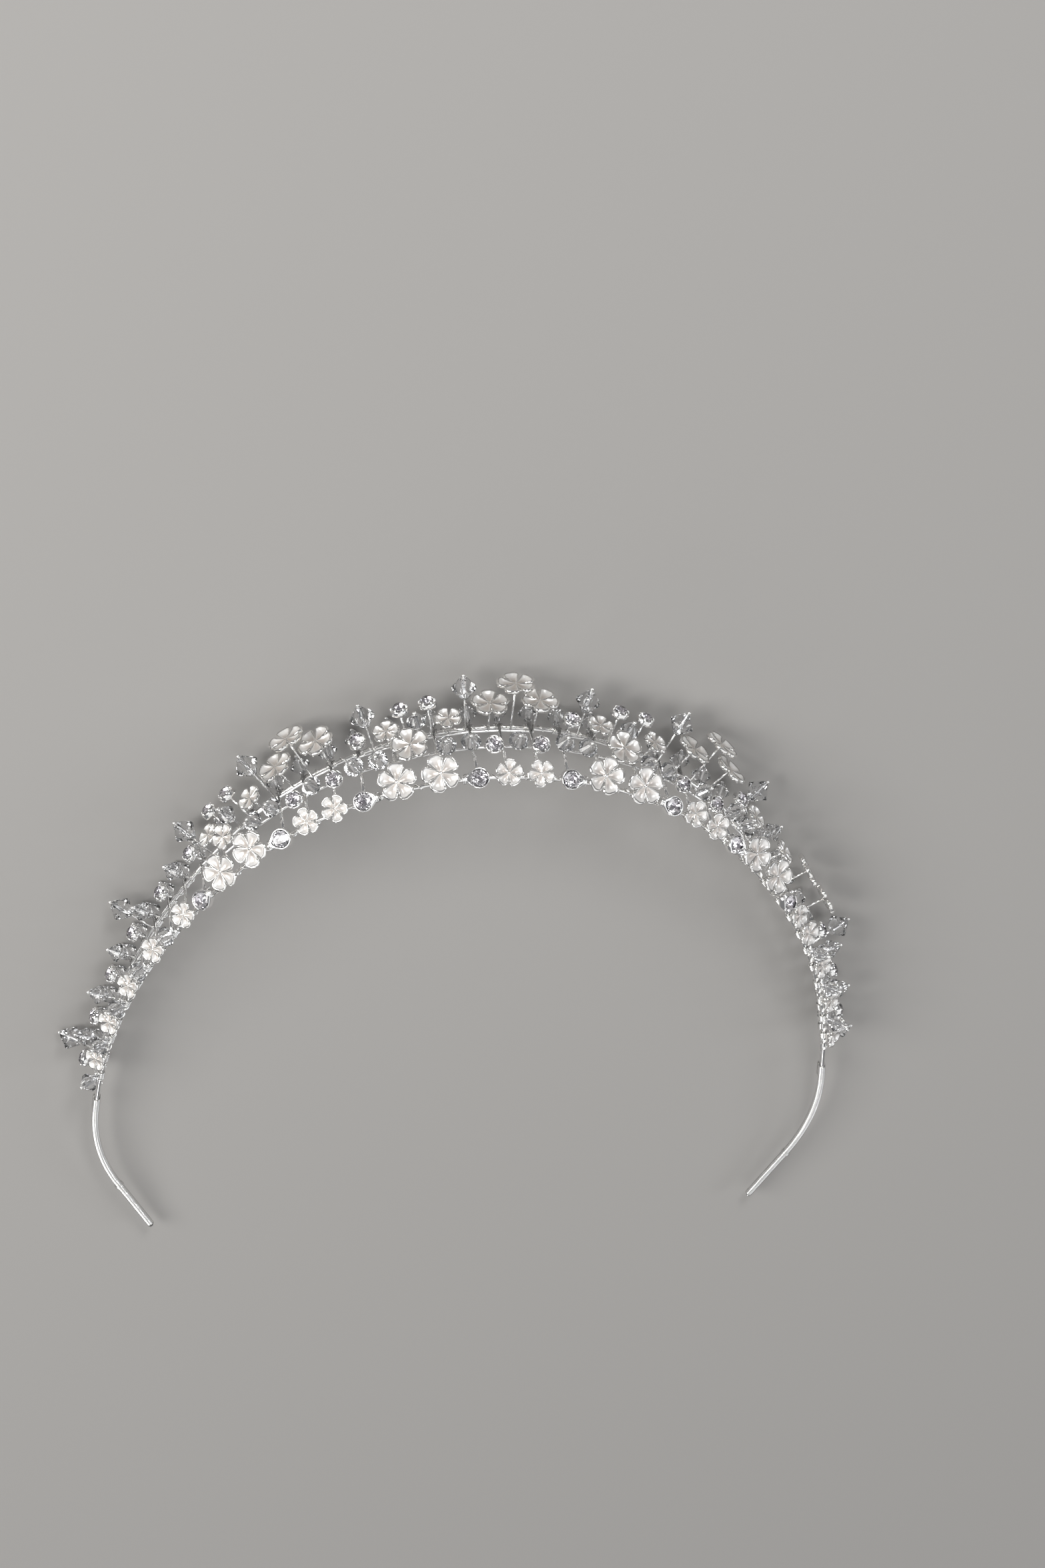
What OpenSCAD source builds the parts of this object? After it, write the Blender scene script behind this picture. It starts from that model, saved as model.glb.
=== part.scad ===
// A hair diadem in the shape of an arched band. Two round wires run from ear to ear. They fan apart
// towards the crown and end side by side in wound tails. Light cross wires join them and carry
// stems, and on the stems sit cast five-petal flowers, teardrop settings, round stones in cups and
// faceted crystals.
// The diadem lies on its back edge: +Y points to the crown of the arch and +Z to its front side.

/* [Band] */
// Width of the arch between the middles of its wires, at its widest level
band_w = 151; // [142:1:162]
// Height of the arch from its widest level to the middles of its wires at the crown
band_h = 97; // [90:0.5:104]
// Half angle of the tighter arc over the crown
crown_deg = 48; // [42:1:56]
// Distance between the middles of the front and the back wire at the crown
rail_gap = 14.4; // [12:0.1:16]
// Diameter of the two band wires
wire_d = 0.9; // [0.7:0.05:1.2]

/* [Tails] */
// Bare length of the two wires between the last ornament and the collar
bare_len = 3; // [2:0.5:8]
// Length of the collar that holds both wire ends side by side
collar_len = 4; // [3:0.5:8]
// Radius of the tail's curve behind the ear
tail_r = 42; // [35:1:90]
// Angle of the tail's curve
tail_deg = 32; // [15:1:40]
// Length of the straight end of each tail
grip_len = 14; // [8:1:20]
// Thickness of the wire wound round each tail
winding_t = 0.25; // [0.2:0.05:0.4]

/* [Flowers] */
// Width of a large flower over its petals
large_d = 7.6; // [6.5:0.1:8.4]
// Thickness of a large flower
large_t = 1.2; // [1:0.05:1.6]
// Width of a small flower over its petals
small_d = 5.5; // [4.5:0.1:6]
// Thickness of a small flower
small_t = 1; // [0.9:0.05:1.3]

/* [Crystals and stones] */
// Diameter of the crystals that stand highest
tall_d = 5; // [4.4:0.1:5.6]
// Length of the crystals that stand highest
tall_len = 4.6; // [4:0.1:5.2]
// Diameter of the other crystals
crystal_d = 4; // [3.4:0.1:4.6]
// Length of the other crystals
crystal_len = 3.7; // [3.2:0.1:4.2]
// Width of the flat ends of a crystal
crystal_tip = 1.2; // [1:0.1:1.6]
// Diameter of the round stones in cups
stone_d = 2.7; // [2.3:0.1:3.2]
// Diameter of the stones in teardrop settings
tear_stone_d = 3.1; // [2.7:0.1:3.6]

/* [Settings] */
// Wall left round a stone
setting_wall = 0.35; // [0.25:0.05:0.6]
// Height of a round cup
cup_h = 1.2; // [1:0.1:1.8]
// Length of a teardrop setting
tear_len = 5; // [4.8:0.1:6]
// Height of a teardrop setting
tear_h = 1.6; // [1.3:0.1:2.2]
// Radius of the narrow end of a teardrop setting
tear_tip_r = 0.6; // [0.4:0.05:1]

/* [Carrying wires] */
// Diameter of the cross wires between the band wires
bar_d = 0.7; // [0.6:0.05:0.9]
// Diameter of the two thin wires along the band that carry the stems
run_d = 0.56; // [0.5:0.02:0.65]
// Diameter of a stem
stem_d = 0.44; // [0.36:0.02:0.5]
// Diameter of the bead that ends a stem above a crystal
head_d = 0.8; // [0.7:0.05:1]
// Length of the wrap of a cross wire round a band wire
wrap_len = 1.7; // [1.2:0.1:2.4]
// Thickness of the wrap of a cross wire round a band wire
wrap_t = 0.3; // [0.25:0.05:0.4]

/* [Fits] */
// Least gap between neighbours in a row
row_gap = 0.35; // [0.25:0.05:0.6]
// Gap round a stem inside a crystal or a flower
thread_gap = 0.12; // [0.1:0.01:0.16]
// Gap round a stone inside its setting
seat_gap = 0.12; // [0.1:0.01:0.16]
// Gap between a band wire and what is wound round it
wind_gap = 0.08; // [0.05:0.01:0.12]

/* [Rows of ornament] */
// Number of full repeats of the pattern
repeats = 4; // [4:1:4]
// Number of plainer repeats at the left end
left_ends = 5; // [3:1:6]
// Number of plainer repeats at the right end
right_ends = 3; // [2:1:4]
// Gap between neighbours in the plainer repeats
end_gap = 0.8; // [0.5:0.05:1.2]
// Place of the middle of the ornament along the band, counted from the crown
pattern_shift = -1; // [-6:0.5:6]
// Lean of the front row from straight out towards the front
front_lean = 42; // [36:1:50]
// Lean of the back row from straight out towards the back
back_lean = 60; // [50:1:70]
// Height of the middles of the upper row over the cross wires
upper_rise = 4.1; // [4:0.1:6]
// Height of the middles of the top row over the cross wires
top_rise = 7.3; // [7:0.1:9]
// How much lower these two rows stand where the band is narrow, as a share of their height
side_drop = 0.4; // [0:0.05:0.5]
// Half distance between the wires below which the middle row stops
least_room = 5.4; // [5:0.1:6]
// Half distance between the wires below which the middle row has small flowers only
large_room = 6.2; // [6:0.1:7]

/* [Hidden] */
$fn = 48;
facets = 8;
petals = 5;

// Outline and hollow of a flower, as shares of its width and thickness
petal_share = 0.21;
hollow_share = 0.78;
hollow_depth = 0.42;
socket_share = 0.6;

// A soldered joint in a wire: its length, and how far it stands out
joint_len = 0.6;
joint_t = 0.03;

// Cut of the stones, as shares of their diameter
table_share = 0.6;
culet_share = 0.25;
crown_share = 0.2;
girdle_share = 0.06;
pavilion_share = 0.3;

// Half width of the arch and its two radii
half_w = band_w / 2;
crown_sin = sin(crown_deg);
crown_cos = cos(crown_deg);
arc_share = crown_sin * crown_cos - (1 - crown_sin) * (1 - crown_cos);
crown_r = (half_w * crown_cos - (1 - crown_sin) * band_h) / arc_share;
side_r = (crown_sin * band_h - (1 - crown_cos) * half_w) / arc_share;
crown_len = crown_r * crown_deg * PI / 180;

// Heights over the middle line of the band wires
wrap_in = wire_d / 2 + wind_gap;
wrap_out = wrap_in + wrap_t;
bar_h = wrap_in + bar_d / 2 + 0.05;
cup_r = stone_d / 2 + seat_gap + setting_wall;
tear_r = tear_stone_d / 2 + seat_gap + setting_wall;

// The lower edge line of the front row, in front of the front wire and just above its middle
front_edge_z = 2.95;
front_edge_h = 0.2;

// Two thin wires run along the band. Their places between the band wires, as shares of half the
// distance there
mid_share = 0.2;
mid_back = 1.9;
high_share = 0.72;
// Places of the upper and the top row behind the middle of the band, in the same shares
upper_share = 0.55;
upper_back = 0.7;
top_share = 0.5;
top_back = 3.3;

// Size of each kind of piece along the band, and half of its depth along its stem
kinds = [
    ["tear", tear_len, tear_h / 2],
    ["large", large_d, large_t / 2],
    ["small", small_d, small_t / 2],
    ["tall", tall_d, tall_len / 2],
    ["crystal", crystal_d, crystal_len / 2],
    ["round", cup_r * 2, cup_h / 2],
];
function kind_row(kind) = kinds[search([kind], kinds)[0]];
function kind_w(kind) = kind_row(kind)[1];
function kind_half(kind) = kind_row(kind)[2];
function is_flat(kind) = kind == "tear" || kind == "large" || kind == "small";
function is_crystal(kind) = kind == "tall" || kind == "crystal";
function wide_r(kind) = kind == "tear" ? tear_r : kind_w(kind) / 2;

// One full repeat of each row. Columns: kind, lean, lift as a share of the large flower, turn about
// the stem. In the front row the lean is added to that of the row
front_chart = [
    ["tear", 0, 0, 0],
    ["large", 0, 0, 10],
    ["large", 4, 0, 34],
    ["tear", 0, 0, 180],
    ["small", 0, 0, 12],
    ["small", 2, 0, 50],
];
mid_chart = [
    ["crystal", 22, 0.03, 0],
    ["crystal", 26, 0, 20],
    ["large", 16, 0.25, 24],
    ["crystal", 26, 0, 10],
    ["crystal", 20, 0, 35],
    ["round", 34, 0, 0],
    ["crystal", 24, 0, 5],
    ["round", 32, 0.03, 0],
];
// Columns: kind, shift to the back and lift as shares of the large flower, turn about the stem
upper_chart = [
    ["round", 0, 0, 0],
    ["small", 0, 0.02, 8],
    ["crystal", 0.04, 0.08, 12],
    ["small", 0, 0.04, 40],
    ["large", 0.08, 0.34, 20],
    ["large", 0.1, 0.44, 52],
];
// The top row stands in the gaps of the upper row. Columns: gap number, kind, shift, lift, turn
top_chart = [
    [1, "tall", 0, 0.04, 0],
    [2, "round", 0, -0.1, 0],
    [3, "round", 0, -0.06, 0],
    [4, "tall", 0.04, 0.26, 20],
    [5, "large", 0, 0.36, 30],
];
// The back row stands at these places of the front row
back_chart = [0, 1, 2, 3, 4, 5];

// One plainer repeat, for the ends
end_front_chart = [["crystal", 0, 0, 0], ["small", 0, 0, 30]];
end_upper_chart = [["round", 0, -0.1, 0], ["crystal", 0, 0.08, 15]];
end_back_chart = [0, 1];
// Its top row is one tall crystal, and only some of the plainer repeats have it
end_top_chart = [[1, "tall", 0, 0.12, 10]];
tall_every = 3;

// Least length of a row of pieces with one gap for each
function sum(list, i = 0) = i < len(list) ? list[i] + sum(list, i + 1) : 0;
function widths(chart) = [for (entry = chart) kind_w(entry[0])];
function need(chart, gap) = sum(widths(chart)) + len(chart) * gap;
stem_gap = stem_d + row_gap;
full_pitch = max(
    need(front_chart, row_gap), need(mid_chart, row_gap), need(upper_chart, stem_gap)
);
end_pitch = max(need(end_front_chart, end_gap), need(end_upper_chart, stem_gap));

// Place of entry i in a row that fills its pitch with equal gaps
function even_gap(chart, pitch) = (pitch - sum(widths(chart))) / len(chart);
function sum_to(list, n, i = 0) = i < n ? list[i] + sum_to(list, n, i + 1) : 0;
function place_in(chart, pitch, i) =
    sum_to(widths(chart), i) + kind_w(chart[i][0]) / 2 + (i + 0.5) * even_gap(chart, pitch);
function gap_in(chart, pitch, i) = sum_to(widths(chart), i) + i * even_gap(chart, pitch);

// The sections of ornament from left to right. Columns: start along the band, pitch, full or not
ornament_len = (left_ends + right_ends) * end_pitch + repeats * full_pitch;
ornament_start = pattern_shift - ornament_len / 2;
repeats_start = ornament_start + left_ends * end_pitch;
right_start = repeats_start + repeats * full_pitch;
sections = concat(
    [for (i = [0 : left_ends - 1]) [ornament_start + i * end_pitch, end_pitch, false]],
    [for (i = [0 : repeats - 1]) [repeats_start + i * full_pitch, full_pitch, true]],
    [for (i = [0 : right_ends - 1]) [right_start + i * end_pitch, end_pitch, false]]
);
// The inner rows lie a little further along the band than the front row
upper_offset = 1.6;

// Where the two wires come together, the same on both sides
merge_start = max(-ornament_start, ornament_start + ornament_len) + upper_offset + bare_len;
merge_turn = crown_deg + (merge_start - crown_len) / side_r * 180 / PI;
merge_spot = [half_w - side_r + side_r * sin(merge_turn), side_r * cos(merge_turn)];
half_pair = (wire_d + wind_gap) / 2 + joint_t;
// Each wire lies in a plane of its own, and this is the angle of that plane to the middle
fan_deg = asin((rail_gap / 2 - half_pair) / (band_h - merge_spot[1]));

// Turn of the band from the crown at a place along it, that place on the arch of a wire, and half
// the distance between the wires there
function turn_at(s) =
    let (a = abs(s))
    sign(s) * (a < crown_len ? a / crown_r * 180 / PI : crown_deg + (a - crown_len) / side_r * 180 / PI);
function spot_at(s) =
    let (turn = turn_at(s))
    abs(s) < crown_len
        ? [crown_r * sin(turn), band_h - crown_r + crown_r * cos(turn), 0]
        : [sign(s) * (half_w - side_r) + side_r * sin(turn), side_r * cos(turn), 0];
function half_gap(s) = half_pair + (spot_at(s)[1] - merge_spot[1]) * sin(fan_deg);

// All pieces. Columns: kind, place along the band, middle towards the front, middle outwards,
// lean, turn, length of the stem, section, row. In the front and the back row the middle is counted
// from the wire, and in the other rows from the middle of the band
function front_piece(entry, s, k) =
    let (
        lean = front_lean + entry[1],
        r = wide_r(entry[0]),
        proud = kind_half(entry[0]) - large_t / 2,
        z = front_edge_z - r * cos(lean) + proud * sin(lean),
        h = front_edge_h + r * sin(lean) + proud * cos(lean),
        to_bar = (h - bar_h) / cos(lean),
        to_wrap = z * sin(lean) + h * cos(lean) - (wrap_in + wrap_out) / 2,
        past_bar = z - to_bar * sin(lean) > 0
    )
    [entry[0], s, z, h, lean, entry[3], past_bar ? to_wrap : to_bar, k, "front"];
function fitting(entry, s) =
    entry[0] == "large" && half_gap(s) < large_room ? concat("small", [for (i = [1 : 3]) entry[i]]) : entry;
function mid_foot(s) = mid_share * half_gap(s) - mid_back;
function mid_piece(entry, s, k) =
    let (
        lean = entry[1],
        spread = is_flat(entry[0]) ? wide_r(entry[0]) * tan(lean) : 0,
        base = (bar_d / 2 + row_gap + entry[2] * large_d) / cos(lean),
        reach = base + kind_half(entry[0]) + spread
    )
    [
        entry[0], s, mid_foot(s) + reach * sin(lean), bar_h + reach * cos(lean), lean, entry[3],
        reach, k, "mid"
    ];
function high_foot(s) = -high_share * half_gap(s);
function high_piece(kind, share, back, full_rise, turn, s, k, row) =
    let (
        rise = full_rise * (1 - side_drop * (1 - half_gap(s) / half_gap(0))),
        z = -share * half_gap(s) - back,
        lean = atan((z - high_foot(s)) / rise)
    )
    [kind, s, z, bar_h + rise, lean, turn, rise / cos(lean), k, row];
function back_piece(s, k) =
    let (reach = wrap_out + row_gap + crystal_len / 2)
    ["crystal", s, -reach * sin(back_lean), reach * cos(back_lean), -back_lean, 15, reach, k, "back"];

function section_pieces(k) =
    let (
        start = sections[k][0],
        pitch = sections[k][1],
        full = sections[k][2],
        front = full ? front_chart : end_front_chart,
        upper = full ? upper_chart : end_upper_chart,
        top = full ? top_chart : k % tall_every == 0 ? end_top_chart : [],
        back = full ? back_chart : end_back_chart
    )
    concat(
        [for (i = [0 : len(front) - 1]) front_piece(front[i], start + place_in(front, pitch, i), k)],
        full ? [for (i = [0 : len(mid_chart) - 1])
            let (s = start + place_in(mid_chart, pitch, i))
            if (half_gap(s) > least_room) mid_piece(fitting(mid_chart[i], s), s, k)] : [],
        [for (i = [0 : len(upper) - 1])
            high_piece(
                upper[i][0], upper_share, upper_back + upper[i][1] * large_d,
                upper_rise + upper[i][2] * large_d, upper[i][3],
                start + upper_offset + place_in(upper, pitch, i), k, "upper"
            )],
        [for (entry = top)
            let (s = start + upper_offset + gap_in(upper, pitch, entry[0]))
            if (entry[0] == 1 || half_gap(s) > least_room) high_piece(
                entry[1], top_share, top_back + entry[2] * large_d,
                top_rise + entry[3] * large_d, entry[4], s, k, "top"
            )],
        [for (i = back) back_piece(start + place_in(front, pitch, i), k)]
    );
pieces = [for (k = [0 : len(sections) - 1]) each section_pieces(k)];

large_front = [for (p = pieces) if (p[0] == "large" && p[8] == "front") p];
large_mid = [for (p = pieces) if (p[0] == "large" && p[8] == "mid") p];
large_top = [for (p = pieces) if (p[0] == "large" && (p[8] == "upper" || p[8] == "top")) p];
tears = [for (p = pieces) if (p[0] == "tear") p];
talls = [for (p = pieces) if (p[0] == "tall") p];
smalls = [for (p = pieces) if (p[0] == "small") p];
rounds = [for (p = pieces) if (p[0] == "round") p];
crystals = [for (p = pieces) if (p[0] == "crystal") p];

// Size and place of the whole in its frame
tail_out = wire_d / 2 + wind_gap + winding_t;
collar_end = merge_spot + collar_len * [cos(merge_turn), -sin(merge_turn)];
tail_turn = merge_turn + tail_deg;
tail_centre = collar_end - tail_r * [sin(merge_turn), cos(merge_turn)];
grip_start = tail_centre + tail_r * [sin(tail_turn), cos(tail_turn)];
grip_end = grip_start + grip_len * [cos(tail_turn), -sin(tail_turn)];
bead_out = thread_gap + head_d * 3 / 4;
top_edge = merge_spot[1] + (band_h - merge_spot[1]) * cos(fan_deg) * cos(fan_deg)
    + (bar_h + top_rise + top_chart[3][3] * large_d + tall_len / 2 + bead_out) * cos(fan_deg)
    + (top_share * half_gap(0) + top_back) * sin(fan_deg);
low_edge = grip_end[1] - tail_out;
frame_y = -(top_edge + low_edge) / 2;
seat_z = (wrap_out + row_gap + crystal_len + bead_out) * sin(back_lean) + head_d / 4 * cos(back_lean);

// Puts a shape in the plane of the front wire (1) or the back wire (-1)
module in_plane(side) {
    translate([0, merge_spot[1], side * half_pair])
        rotate([side * fan_deg, 0, 0])
        translate([0, -merge_spot[1], 0])
        children();
}
// Puts a shape at a place along the band: X along the band, Y outwards, Z to the front. The place
// is on the front wire (1), on the back wire (-1) or midway between them (0)
function mid_spot(s) =
    let (spot = spot_at(s))
    [spot[0], merge_spot[1] + (spot[1] - merge_spot[1]) * cos(fan_deg), 0];
module on_band(s, side = 0) {
    if (side == 0)
        translate(mid_spot(s)) rotate([0, 0, -turn_at(s)]) children();
    else
        in_plane(side) translate(spot_at(s)) rotate([0, 0, -turn_at(s)]) children();
}

// Puts a shape where a piece sits, with Z along its stem and away from the band
function row_side(row) = row == "front" ? 1 : row == "back" ? -1 : 0;
module at_piece(p, along = 0) {
    on_band(p[1], row_side(p[8]))
        translate([0, p[3] + along * cos(p[4]), p[2] + along * sin(p[4])])
        rotate([p[4] - 90, 0, 0])
        rotate([0, 0, p[5]])
        children();
}

// Puts the whole in its frame, with the plane of the back wire level
module in_frame() {
    translate([0, frame_y + merge_spot[1], seat_z])
        rotate([fan_deg, 0, 0])
        translate([0, -merge_spot[1], half_pair])
        children();
}

// The arch of a band wire. It is made of circular stretches, and a short soldered joint covers each
// place where two of them meet
module arch() {
    module stretch(centre, r, turn_a, turn_b) {
        trim = joint_len / 4 / r * 180 / PI;
        translate(centre)
            rotate([0, 0, 90 - turn_b + trim])
            rotate_extrude(angle = turn_b - turn_a - 2 * trim)
            translate([r, 0])
            circle(d = wire_d);
    }
    stretch([0, band_h - crown_r], crown_r, -crown_deg, crown_deg);
    stretch([half_w - side_r, 0], side_r, crown_deg, merge_turn);
    stretch([side_r - half_w, 0], side_r, -merge_turn, -crown_deg);
    for (s = [-merge_start, -crown_len, crown_len, merge_start])
        translate(spot_at(s)) rotate([0, 0, -turn_at(s)]) joint(wire_d);
}
// A short soldered joint, with X along the wire
module joint(d) {
    rotate([0, 90, 0]) cylinder(d = d + 2 * joint_t, h = joint_len, center = true);
}

// The start of a tail, on the right side: X runs along the wire, Y outwards
module tail_frame() {
    translate(merge_spot) rotate([0, 0, -merge_turn]) children();
}
module along_x(x, z, len, d) {
    translate([x, 0, z]) rotate([0, 90, 0]) cylinder(d = d, h = len);
}
// Puts a shape at the end of the collar, and at the start of the straight end of the tail
module curve_frame() {
    translate([collar_len, -tail_r, half_pair]) children();
}
module grip_frame() {
    curve_frame() rotate([0, 0, -tail_deg]) translate([0, tail_r, 0]) children();
}
// What follows the curve of a tail and then its straight end, with the given profile
module tail_sweep(gap) {
    trim = gap / tail_r * 180 / PI;
    curve_frame()
        rotate([0, 0, 90 - tail_deg + trim])
        rotate_extrude(angle = tail_deg - 2 * trim)
        translate([tail_r, 0])
        children();
    grip_frame() translate([gap, 0, 0]) rotate([90, 0, 90]) linear_extrude(grip_len - gap) children();
}
module front_tail() {
    tail_frame() {
        along_x(joint_len / 4, half_pair, collar_len - joint_len / 2, wire_d);
        translate([collar_len, 0, half_pair]) joint(wire_d);
        tail_sweep(joint_len / 4) circle(d = wire_d);
        grip_frame() joint(wire_d);
        grip_frame() translate([grip_len, 0, 0]) tail_tip();
    }
}
// A round end as wide as the winding, so that the winding can't slide off
module tail_tip() {
    rotate([0, 90, 0]) rotate_extrude() {
        translate([0, -wire_d / 4]) square([wire_d / 4, wire_d / 4 + 2 * wind_gap]);
        translate([0, wind_gap]) intersection() {
            circle(r = tail_out);
            square(tail_out);
        }
    }
}
module front_wire() {
    color("silver") in_frame() {
        in_plane(1) arch();
        front_tail();
        mirror([1, 0, 0]) front_tail();
    }
}
module back_tail() {
    tail_frame() along_x(joint_len / 4, -half_pair, collar_len - joint_len - wind_gap, wire_d);
}
module back_wire() {
    color("silver") in_frame() {
        in_plane(-1) arch();
        back_tail();
        mirror([1, 0, 0]) back_tail();
    }
}
// The winding of a tail: a collar round both wires, then a sleeve round the front wire alone. A
// soldered ring covers the end of the collar, and a second layer of wire the start of the straight end
module winding() {
    tail_frame() {
        translate([joint_len, 0, 0])
            rotate([90, 0, 90])
            linear_extrude(collar_len - joint_len * 5 / 4)
            difference() {
                pair_outline(tail_out);
                pair_outline(tail_out - winding_t);
            }
        tail_sweep(joint_len / 4) difference() {
            circle(r = tail_out);
            circle(r = tail_out - winding_t);
        }
        translate([collar_len, 0, half_pair]) ring(joint_t);
        grip_frame() ring(winding_t);
    }
}
module ring(t) {
    rotate([90, 0, 90]) linear_extrude(joint_len, center = true) difference() {
        circle(r = tail_out + t);
        circle(r = tail_out - winding_t * 3 / 4);
    }
}
// Outline round both wires side by side
module pair_outline(r) {
    for (side = [-1, 1]) translate([0, side * half_pair]) circle(r = r);
    square([2 * r, 2 * half_pair], center = true);
}
module left_winding() {
    color("gainsboro") in_frame() mirror([1, 0, 0]) winding();
}
module right_winding() {
    color("gainsboro") in_frame() winding();
}

// The carrying wires of a stretch of ornament: cross wires wrapped round both band wires, two thin
// wires along the band, and the stems with the cups that are soldered to them
module stem_frame(i) {
    first = i == 1 ? 0 : left_ends + i - 2;
    last = i == 1 ? left_ends - 1 : i == repeats + 2 ? len(sections) - 1 : first;
    mine = [for (p = pieces) if (p[7] >= first && p[7] <= last) p];
    fronts = [for (p = mine) if (p[8] == "front") p[1]];
    mids = [for (p = mine) if (p[8] == "mid") p[1]];
    highs = [for (p = mine) if (p[8] == "upper" || p[8] == "top") p[1]];
    color("lightgray") in_frame() {
        for (s = fronts) cross_wire(s);
        if (len(mids) > 0) thin_wire([for (s = stops(fronts, mids)) outer_spot(s, mid_foot(s))]);
        thin_wire([for (s = stops(fronts, highs)) outer_spot(s, high_foot(s))]);
        for (p = mine) stem(p);
        for (p = mine) if (p[0] == "round") at_piece(p) cup();
    }
}
// The places that a thin wire passes: the cross wires, and the outermost stems where they lie beyond
function stops(fronts, stems) =
    let (
        first = min(stems) - run_d / 2,
        last = max(stems) + run_d / 2
    )
    concat(
        first < fronts[0] ? [first] : [],
        [for (s = fronts) if (s > first - full_pitch / 6 && s < last + full_pitch / 6) s],
        last > max(fronts) ? [last] : []
    );
function outer_spot(s, z) = mid_spot(s) + [bar_h * sin(turn_at(s)), bar_h * cos(turn_at(s)), z];
// A thin wire that runs straight from point to point
module thin_wire(spots) {
    trim = bar_d / 6;
    for (i = [1 : len(spots) - 1]) {
        way = spots[i] - spots[i - 1];
        translate(spots[i - 1])
            rotate([0, acos(way[2] / norm(way)), atan2(way[1], way[0])])
            translate([0, 0, trim])
            cylinder(d = run_d, h = norm(way) - 2 * trim);
    }
}
module cross_wire(s) {
    reach = half_gap(s) + wrap_in;
    on_band(s) translate([0, bar_h, -reach]) cylinder(d = bar_d, h = 2 * reach);
    for (side = [-1, 1]) on_band(s, side) translate([-wrap_len / 2, 0, 0]) rotate([0, 90, 0]) wrap();
}
module wrap() {
    difference() {
        cylinder(r = wrap_out, h = wrap_len);
        translate([0, 0, -wrap_len / 2]) cylinder(r = wrap_in, h = 2 * wrap_len);
    }
}
// A stem from the carrying wires to a piece. It goes right through a crystal and ends in a bead,
// and goes into a socket in the back of a flower or a teardrop setting
module stem(p) {
    half = kind_half(p[0]);
    from = p[8] == "back" ? (wrap_in + wrap_out) / 2 : -stem_d / 5;
    back_t = p[0] == "tear" ? tear_h - tear_pocket : 2 * half;
    socket = back_t * socket_share - thread_gap;
    to = p[0] == "round" ? p[6] - cup_h / 2 + setting_wall / 2 : p[6] - half + socket;
    neck = p[6] + half + thread_gap;
    if (is_crystal(p[0]))
        at_piece(p, -p[6]) rotate_extrude() polygon([
            [0, from], [stem_d / 2, from], [stem_d / 2, neck], [head_d / 2, neck + head_d / 4],
            [head_d / 2, neck + head_d / 2], [head_d / 4, neck + head_d * 3 / 4],
            [0, neck + head_d * 3 / 4]
        ]);
    else
        at_piece(p, from - p[6]) cylinder(d = stem_d, h = to - from);
}
module cup() {
    difference() {
        translate([0, 0, -cup_h / 2]) cylinder(r = cup_r, h = cup_h);
        translate([0, 0, -cup_h / 2 + setting_wall]) cylinder(r = cup_r - setting_wall, h = cup_h);
    }
}

// A cast flower: round petals with a hollow in each, and a socket in the back
module flower(d, t) {
    petal_r = d * petal_share;
    out = d / 2 - petal_r;
    hollow_r = petal_r * hollow_share;
    depth = t * hollow_depth;
    ball_r = (hollow_r * hollow_r + depth * depth) / (2 * depth);
    difference() {
        translate([0, 0, -t / 2]) linear_extrude(t) {
            circle(r = out);
            for (i = [0 : petals - 1]) rotate(i * 360 / petals) translate([out, 0]) circle(r = petal_r);
        }
        for (i = [0 : petals - 1])
            rotate([0, 0, i * 360 / petals]) translate([out, 0, t / 2 + ball_r - depth]) sphere(r = ball_r);
        socket(t);
    }
}
module socket(t) {
    depth = t * socket_share;
    translate([0, 0, -t / 2 - depth]) cylinder(d = stem_d + 2 * thread_gap, h = 2 * depth);
}
module large_flower(p) {
    color("silver") in_frame() at_piece(p) flower(large_d, large_t);
}
module small_flowers() {
    color("silver") in_frame() for (p = smalls) at_piece(p) flower(small_d, small_t);
}

// A teardrop setting: a round pocket for a stone, with a narrow end that points along the band
module teardrop_setting(p) {
    color("silver") in_frame() at_piece(p) difference() {
        translate([0, 0, -tear_h / 2]) union() {
            cylinder(r = tear_r, h = tear_h);
            translate([tear_run, 0, 0]) cylinder(r = tear_tip_r, h = tear_h);
            linear_extrude(tear_h) polygon([
                [0, tear_r / 2], tear_side(tear_r, 0, 1), tear_side(tear_tip_r, tear_run, 1),
                tear_side(tear_tip_r, tear_run, -1), tear_side(tear_r, 0, -1), [0, -tear_r / 2]
            ]);
        }
        translate([0, 0, tear_h / 2 - tear_pocket]) cylinder(r = tear_r - setting_wall, h = tear_h);
        translate([0, 0, -tear_pocket / 2]) socket(tear_h - tear_pocket);
    }
}
tear_pocket = tear_stone_d * (pavilion_share + girdle_share) + seat_gap;
tear_run = tear_len - tear_r - tear_tip_r;
// Where the straight sides meet the circles of the outline, just inside them
tear_slope = acos((tear_r - tear_tip_r) / tear_run);
tear_tuck = 0.98;
function tear_side(r, x, side) =
    [x + tear_tuck * r * cos(tear_slope), side * tear_tuck * r * sin(tear_slope)];

// A stone cut with a table: culet end down, with Z = 0 on the underside
module cut_stone(d) {
    pavilion = d * pavilion_share;
    girdle = d * girdle_share;
    cylinder(d1 = d * culet_share, d2 = d, h = pavilion, $fn = facets);
    translate([0, 0, pavilion]) cylinder(d = d, h = girdle, $fn = facets);
    translate([0, 0, pavilion + girdle])
        cylinder(d1 = d, d2 = d * table_share, h = d * crown_share, $fn = facets);
}
module round_stones() {
    color("lavender") in_frame()
        for (p = rounds) at_piece(p, -cup_h / 2 + setting_wall + seat_gap) cut_stone(stone_d);
}
module teardrop_stones() {
    color("lavender") in_frame()
        for (p = tears) at_piece(p, tear_h / 2 - tear_pocket + seat_gap) cut_stone(tear_stone_d);
}

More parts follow.
